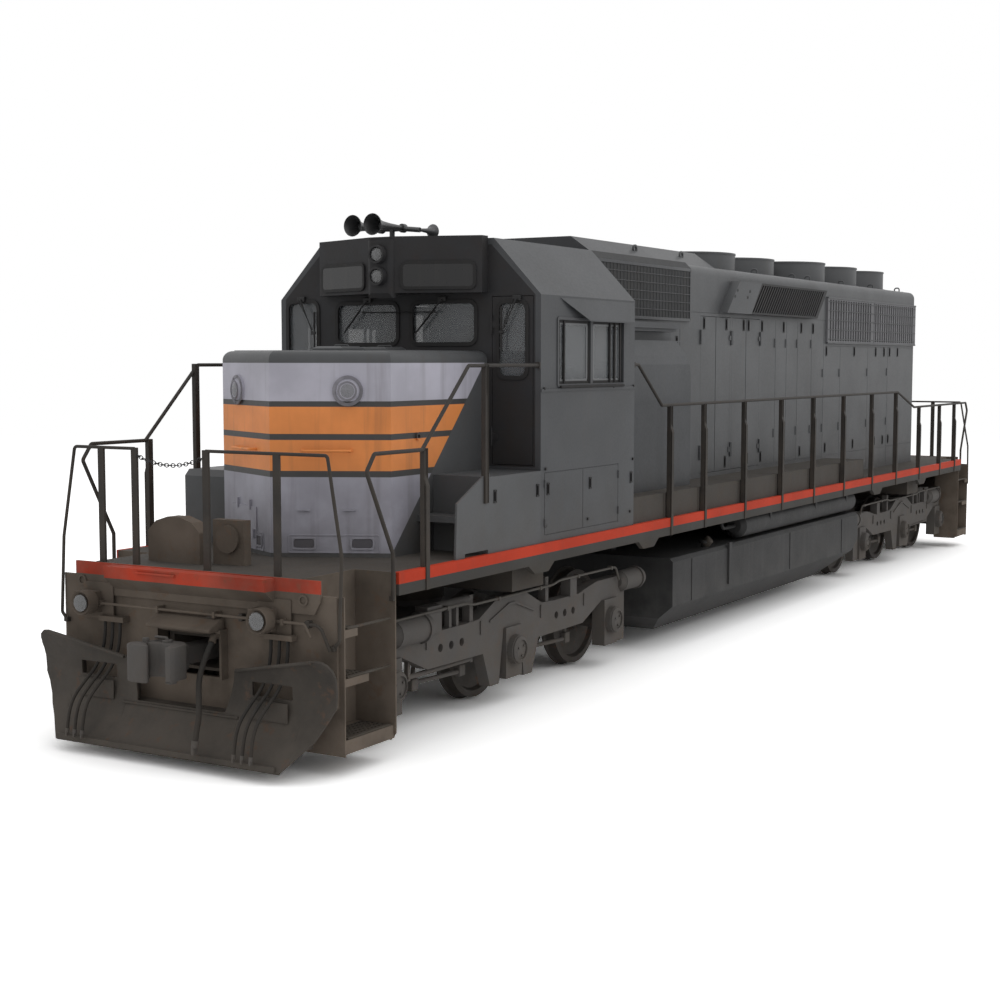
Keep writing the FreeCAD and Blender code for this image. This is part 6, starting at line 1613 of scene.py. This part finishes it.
# ---------------------------------------------------------------- bogies
@dataclass
class BogieFittings(Fittings):
    """Axle-box covers, pipes and brake rods of one bogie."""

    centre: float = 6.36
    pitch: float = 2.068
    axle: float = 0.533
    face: float = 1.31

    def build(self) -> None:
        """Make the fittings of this bogie."""
        word = self.body
        cover = self.cover()
        for number, x in enumerate((self.centre - self.pitch, self.centre, self.centre + self.pitch)):
            for side, flip in (("left", None), ("right", Axis.Y)):
                self.add(Bench.copy(cover, (x, 0, 0), flip), f"{word}_cover_{side}_{number}", Finishes.CAST)
        bpy.data.objects.remove(cover)
        self.both(self.brake_pipe(), f"{word}_brake_pipe", Finishes.PIPE)
        self.both(self.rods(), f"{word}_brake_rods", Finishes.CAST)

    def cover(self) -> Thing:
        """Make one axle-box cover: a flange with eight bolts and a cap with three."""
        z, y = self.axle, self.face
        parts = [Bench.rod((0, y - 0.002, z), (0, y + 0.010, z), 0.128, 32, 0.004)]
        Bench.where("FACE", lambda c, n: n.y > 0.9)
        bpy.ops.mesh.inset(thickness=0.038)
        bpy.ops.mesh.inset(thickness=0.006)
        bpy.ops.transform.translate(value=(0, 0.012, 0))
        bpy.ops.mesh.inset(thickness=0.034)
        bpy.ops.transform.translate(value=(0, -0.006, 0))
        Bench.done()
        Bench.smooth(0.6)
        for count, reach, out, size in ((8, 0.108, 0.006, 0.012), (3, 0.058, 0.018, 0.012)):
            for angle in around(count, 0.39):
                spot = (reach * math.cos(angle), y + out, z + reach * math.sin(angle))
                parts.append(Bench.rod(spot, (spot[0], spot[1] + 0.014, spot[2]), size, 6, 0.002))
        return Bench.join(*parts)

    def brake_pipe(self) -> Thing:
        """Lay the thin brake pipe along the top of the left side, with its clips."""
        c, y = self.centre, 1.255
        line = Bench.pipe([(c + x, y, z) for x, z in (
            (2.24, 0.96), (2.16, 1.085), (0.9, 1.09), (0.75, 1.06), (-0.75, 1.06), (-0.9, 1.09), (-2.16, 1.085),
            (-2.24, 0.94))], 0.013, 0.04)
        clips = [Bench.block((c + x - 0.018, y - 0.035, z - 0.02), (c + x + 0.018, y + 0.018, z + 0.02), 0.004)
                 for x, z in ((2.05, 1.086), (1.2, 1.088), (0.3, 1.06), (-0.5, 1.06), (-1.3, 1.087), (-2.05, 1.086))]
        return Bench.join(line, *clips)

    def rods(self) -> Thing:
        """Make the brake rods between the left wheels, with their hangers and jaws."""
        parts = []
        for bay in (-1, 1):
            middle = self.centre + bay * self.pitch / 2
            parts.append(Bench.rod((middle - 0.42, 1.03, 0.40), (middle + 0.42, 1.03, 0.43), 0.022, 12, 0.004))
            for end in (-1, 1):
                x = middle + end * 0.40
                parts.append(Bench.block((x - 0.05, 0.995, 0.36), (x + 0.05, 1.065, 0.47), 0.010, 2))
                parts.append(Bench.rod((x, 1.03, 0.43), (x - end * 0.05, 1.03, 0.80), 0.020, 10))
        return Bench.join(*parts)


# ---------------------------------------------------------------- tank and underframe
@dataclass
class TankFittings(Fittings):
    """Filler caps of the fuel tank."""

    def build(self) -> None:
        """Make a cap for each side."""
        cap = Bench.rod((1.9, 1.30, 1.10), (1.9, 1.36, 1.17), 0.055, 20, 0.008)
        Bench.where("FACE", lambda c, n: n.z > 0.5 and n.y > 0.3)
        bpy.ops.mesh.inset(thickness=0.018)
        bpy.ops.transform.translate(value=(0, 0.004, 0.008))
        Bench.done()
        self.both(cap, "filler_cap", Finishes.RAIL)


# ---------------------------------------------------------------- hoses
@dataclass
class Hoses(Fittings):
    """The air hoses that hang from the front end plate, each with its coupling head."""

    plate: float = 9.506
    outlet: float = 1.07
    brake_outlet: float = 1.006
    small: tuple[Point, ...] = (
        (0.034, 0, 0), (0.040, 0.004, -0.180), (0.130, -0.004, -0.365), (0.280, -0.020, -0.490),
        (0.395, -0.038, -0.610), (0.438, -0.050, -0.755), (0.446, -0.054, -0.855))
    large: tuple[Point, ...] = (
        (0.128, 0.310, 0), (0.205, 0.300, -0.120), (0.285, 0.305, -0.270), (0.350, 0.360, -0.420),
        (0.405, 0.405, -0.560), (0.438, 0.405, -0.660), (0.445, 0.400, -0.730))

    def build(self) -> None:
        """Make seven hoses and their heads."""
        made = []
        for cluster in (-0.86, 0.93):
            for step in (-0.085, 0.0, 0.085):
                route = [(self.plate + x, cluster + step + y, self.outlet + z) for x, y, z in self.small]
                made.append(self.hose(f"control_hose_{len(made) + 1}", route, 0.014, 0.993))
        route = [(self.plate + x, y, self.brake_outlet + z) for x, y, z in self.large]
        made.append(self.hose("brake_hose", route, 0.024, 0.815))
        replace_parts(made[-1][0], "front_hoses")
        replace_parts(made[-1][1], "hose_couplings")

    def head(self, name: str, tip: Point, way: Vector, radius: float) -> Thing:
        """Make a coupling head: a clamped socket, a turned jaw and its lip.

        Args:
            name: Name of the head.
            tip: End of the hose.
            way: Direction in which the hose ends.
            radius: Radius of the hose.

        Returns:
            The head.
        """
        spot = Vector(tip)
        parts = [Bench.rod(spot, spot + way * radius * 2.4, radius * 1.22, 20, radius * 0.12)]
        for step in (0.5, 1.5):
            parts.append(Bench.rod(spot + way * radius * step, spot + way * radius * (step + 0.35), radius * 1.25, 20))
        middle = spot + way * radius * 3.5
        half = Vector((radius * 1.2, radius * 0.62, radius * 1.25))
        parts.append(Bench.block(middle - half, middle + half, radius * 0.3, 3))
        parts.append(Bench.ring(middle + Vector((0, radius * 0.6, 0)), (0, 1, 0), radius * 0.95, radius * 0.3,
                                radius * 0.12))
        return self.add(Bench.join(*parts), name, Finishes.CAST)

    def hose(self, name: str, route: list[Point], radius: float,
             length: float) -> tuple[Thing, Thing]:
        """Make one hose on a smooth line, with the head on its end.

        Args:
            name: Name of the hose.
            route: Points of its middle line.
            radius: Radius of the hose.
            length: Real length of the hose; not used.

        Returns:
            The hose and its head.
        """
        line = bpy.data.curves.new(name, "CURVE")
        line.dimensions = "3D"
        spline = line.splines.new("NURBS")
        spline.points.add(len(route) - 1)
        for point, spot in zip(spline.points, route):
            point.co = (*spot, 1)
        spline.order_u = 3
        spline.use_endpoint_u = True
        line.resolution_u = 8
        line.bevel_depth = radius
        line.bevel_resolution = 4
        line.use_fill_caps = True
        hose = bpy.data.objects.new(name, line)
        bpy.context.scene.collection.objects.link(hose)
        self.add(hose, name, Finishes.RUBBER)
        head = self.head(name + "_head", route[-1], (Vector(route[-1]) - Vector(route[-2])).normalized(), radius)
        return hose, head


# ---------------------------------------------------------------- studio
@dataclass
class Studio:
    """Pale floor, soft lights, white surroundings and the camera."""

    eye: Point = (19.5362, 8.8451, 3.2841)
    heading: float = 210.4727
    tilt: float = -4.9623
    roll: float = 0.0195
    lens: float = 57.86
    floor_half: float = 400.0
    surround: float = 0.75
    white_from: float = 16.0
    white_to: float = 55.0
    pale: float = 1.66

    def build(self) -> None:
        """Make the camera, the floor, the lights and the world."""
        self.camera()
        self.floor()
        self.lights()
        self.world()

    def camera(self) -> None:
        """Place the camera at the object's usual three-quarter view."""
        data = bpy.data.cameras.new("camera")
        data.lens = self.lens
        data.sensor_width = 36.0
        data.clip_end = 1000.0
        camera = bpy.data.objects.new("camera", data)
        bpy.context.scene.collection.objects.link(camera)
        turn = (Matrix.Rotation(math.radians(self.heading - 90), 4, "Z")
                @ Matrix.Rotation(math.radians(90 + self.tilt), 4, "X")
                @ Matrix.Rotation(math.radians(self.roll), 4, "Z"))
        camera.matrix_world = Matrix.Translation(self.eye) @ turn
        bpy.context.scene.camera = camera

    def floor(self) -> None:
        """Lay the floor at the height of the wheel flanges."""
        bpy.ops.mesh.primitive_plane_add(size=2 * self.floor_half, location=(0, 0, 0))
        floor = bpy.context.object
        floor.name = "studio_floor"
        graph = Graph("studio_floor")
        graph.set(Base_Color=(0.9, 0.9, 0.9), Roughness=0.9, Specular_IOR_Level=0.0)
        reach = graph.add("ShaderNodeVectorMath", graph.place, operation="LENGTH").outputs["Value"]
        white = graph.add("ShaderNodeEmission", WHITE, 1.0)
        pale = graph.add("ShaderNodeBsdfDiffuse", (self.pale, self.pale, self.pale))
        near = graph.add("ShaderNodeMixShader", graph.smooth(reach, self.white_from, self.white_to),
                         pale.outputs[0], white.outputs[0])
        seen = graph.add("ShaderNodeLightPath")
        choice = graph.add("ShaderNodeMixShader", seen.outputs["Is Camera Ray"], graph.shader.outputs[0],
                           near.outputs[0])
        graph.end("Material Output", choice)
        floor.data.materials.append(graph.material)

    def lights(self) -> None:
        """Light the left side from high up and the whole from above."""
        for name, where, aim, size, power in (
                ("key", (0.0, 22.0, 20.0), (0.0, 0.0, 1.5), 18.0, 1150.0),
                ("top", (0.0, 2.0, 26.0), (0.0, 0.0, 0.0), 24.0, 900.0)):
            data = bpy.data.lights.new(name, "AREA")
            data.size = size
            data.energy = power
            lamp = bpy.data.objects.new(name, data)
            lamp.location = where
            lamp.rotation_euler = (Vector(aim) - Vector(where)).to_track_quat("-Z", "Y").to_euler()
            bpy.context.scene.collection.objects.link(lamp)

    def world(self) -> None:
        """Surround the object with even light that a camera or a mirror sees as white."""
        world = bpy.data.worlds.new("studio")
        bpy.context.scene.world = world
        world.use_nodes = True
        nodes = Nodes(world.node_tree)
        soft, white = (nodes.add("ShaderNodeBackground", WHITE, power) for power in (self.surround, 1.0))
        seen = nodes.add("ShaderNodeLightPath").outputs
        mirrored = nodes.math("MAXIMUM", seen["Is Glossy Ray"], seen["Is Transmission Ray"])
        either = nodes.math("MAXIMUM", seen["Is Camera Ray"], mirrored)
        nodes.end("World Output", nodes.add("ShaderNodeMixShader", either, soft.outputs[0], white.outputs[0]))


def main() -> None:
    """Dress the construction, add the fittings and light the scene."""
    logging.basicConfig(level=logging.INFO, format="%(name)s: %(message)s")
    scene = bpy.context.scene
    scene.view_settings.view_transform = "Standard"
    bpy.ops.object.select_all(action="DESELECT")
    for name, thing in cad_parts.items():
        Wardrobe.dress(thing, finish_of(name))
    LOG.info("dressed %d construction nodes", len(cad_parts))
    Studio().build()
    groups = (Hoses(), CabFittings(), NoseFittings(), HoodFittings(), PostFittings(), PlatformFittings(),
              PlowFittings(), CouplerFittings("front_coupler"), CouplerFittings("rear_coupler"),
              BogieFittings("front_bogie"), BogieFittings("rear_bogie", centre=-6.36), TankFittings())
    for group in groups:
        group.build()
        LOG.info("%s: %d pieces", type(group).__name__, group.count)


if __name__ == "__main__":
    main()
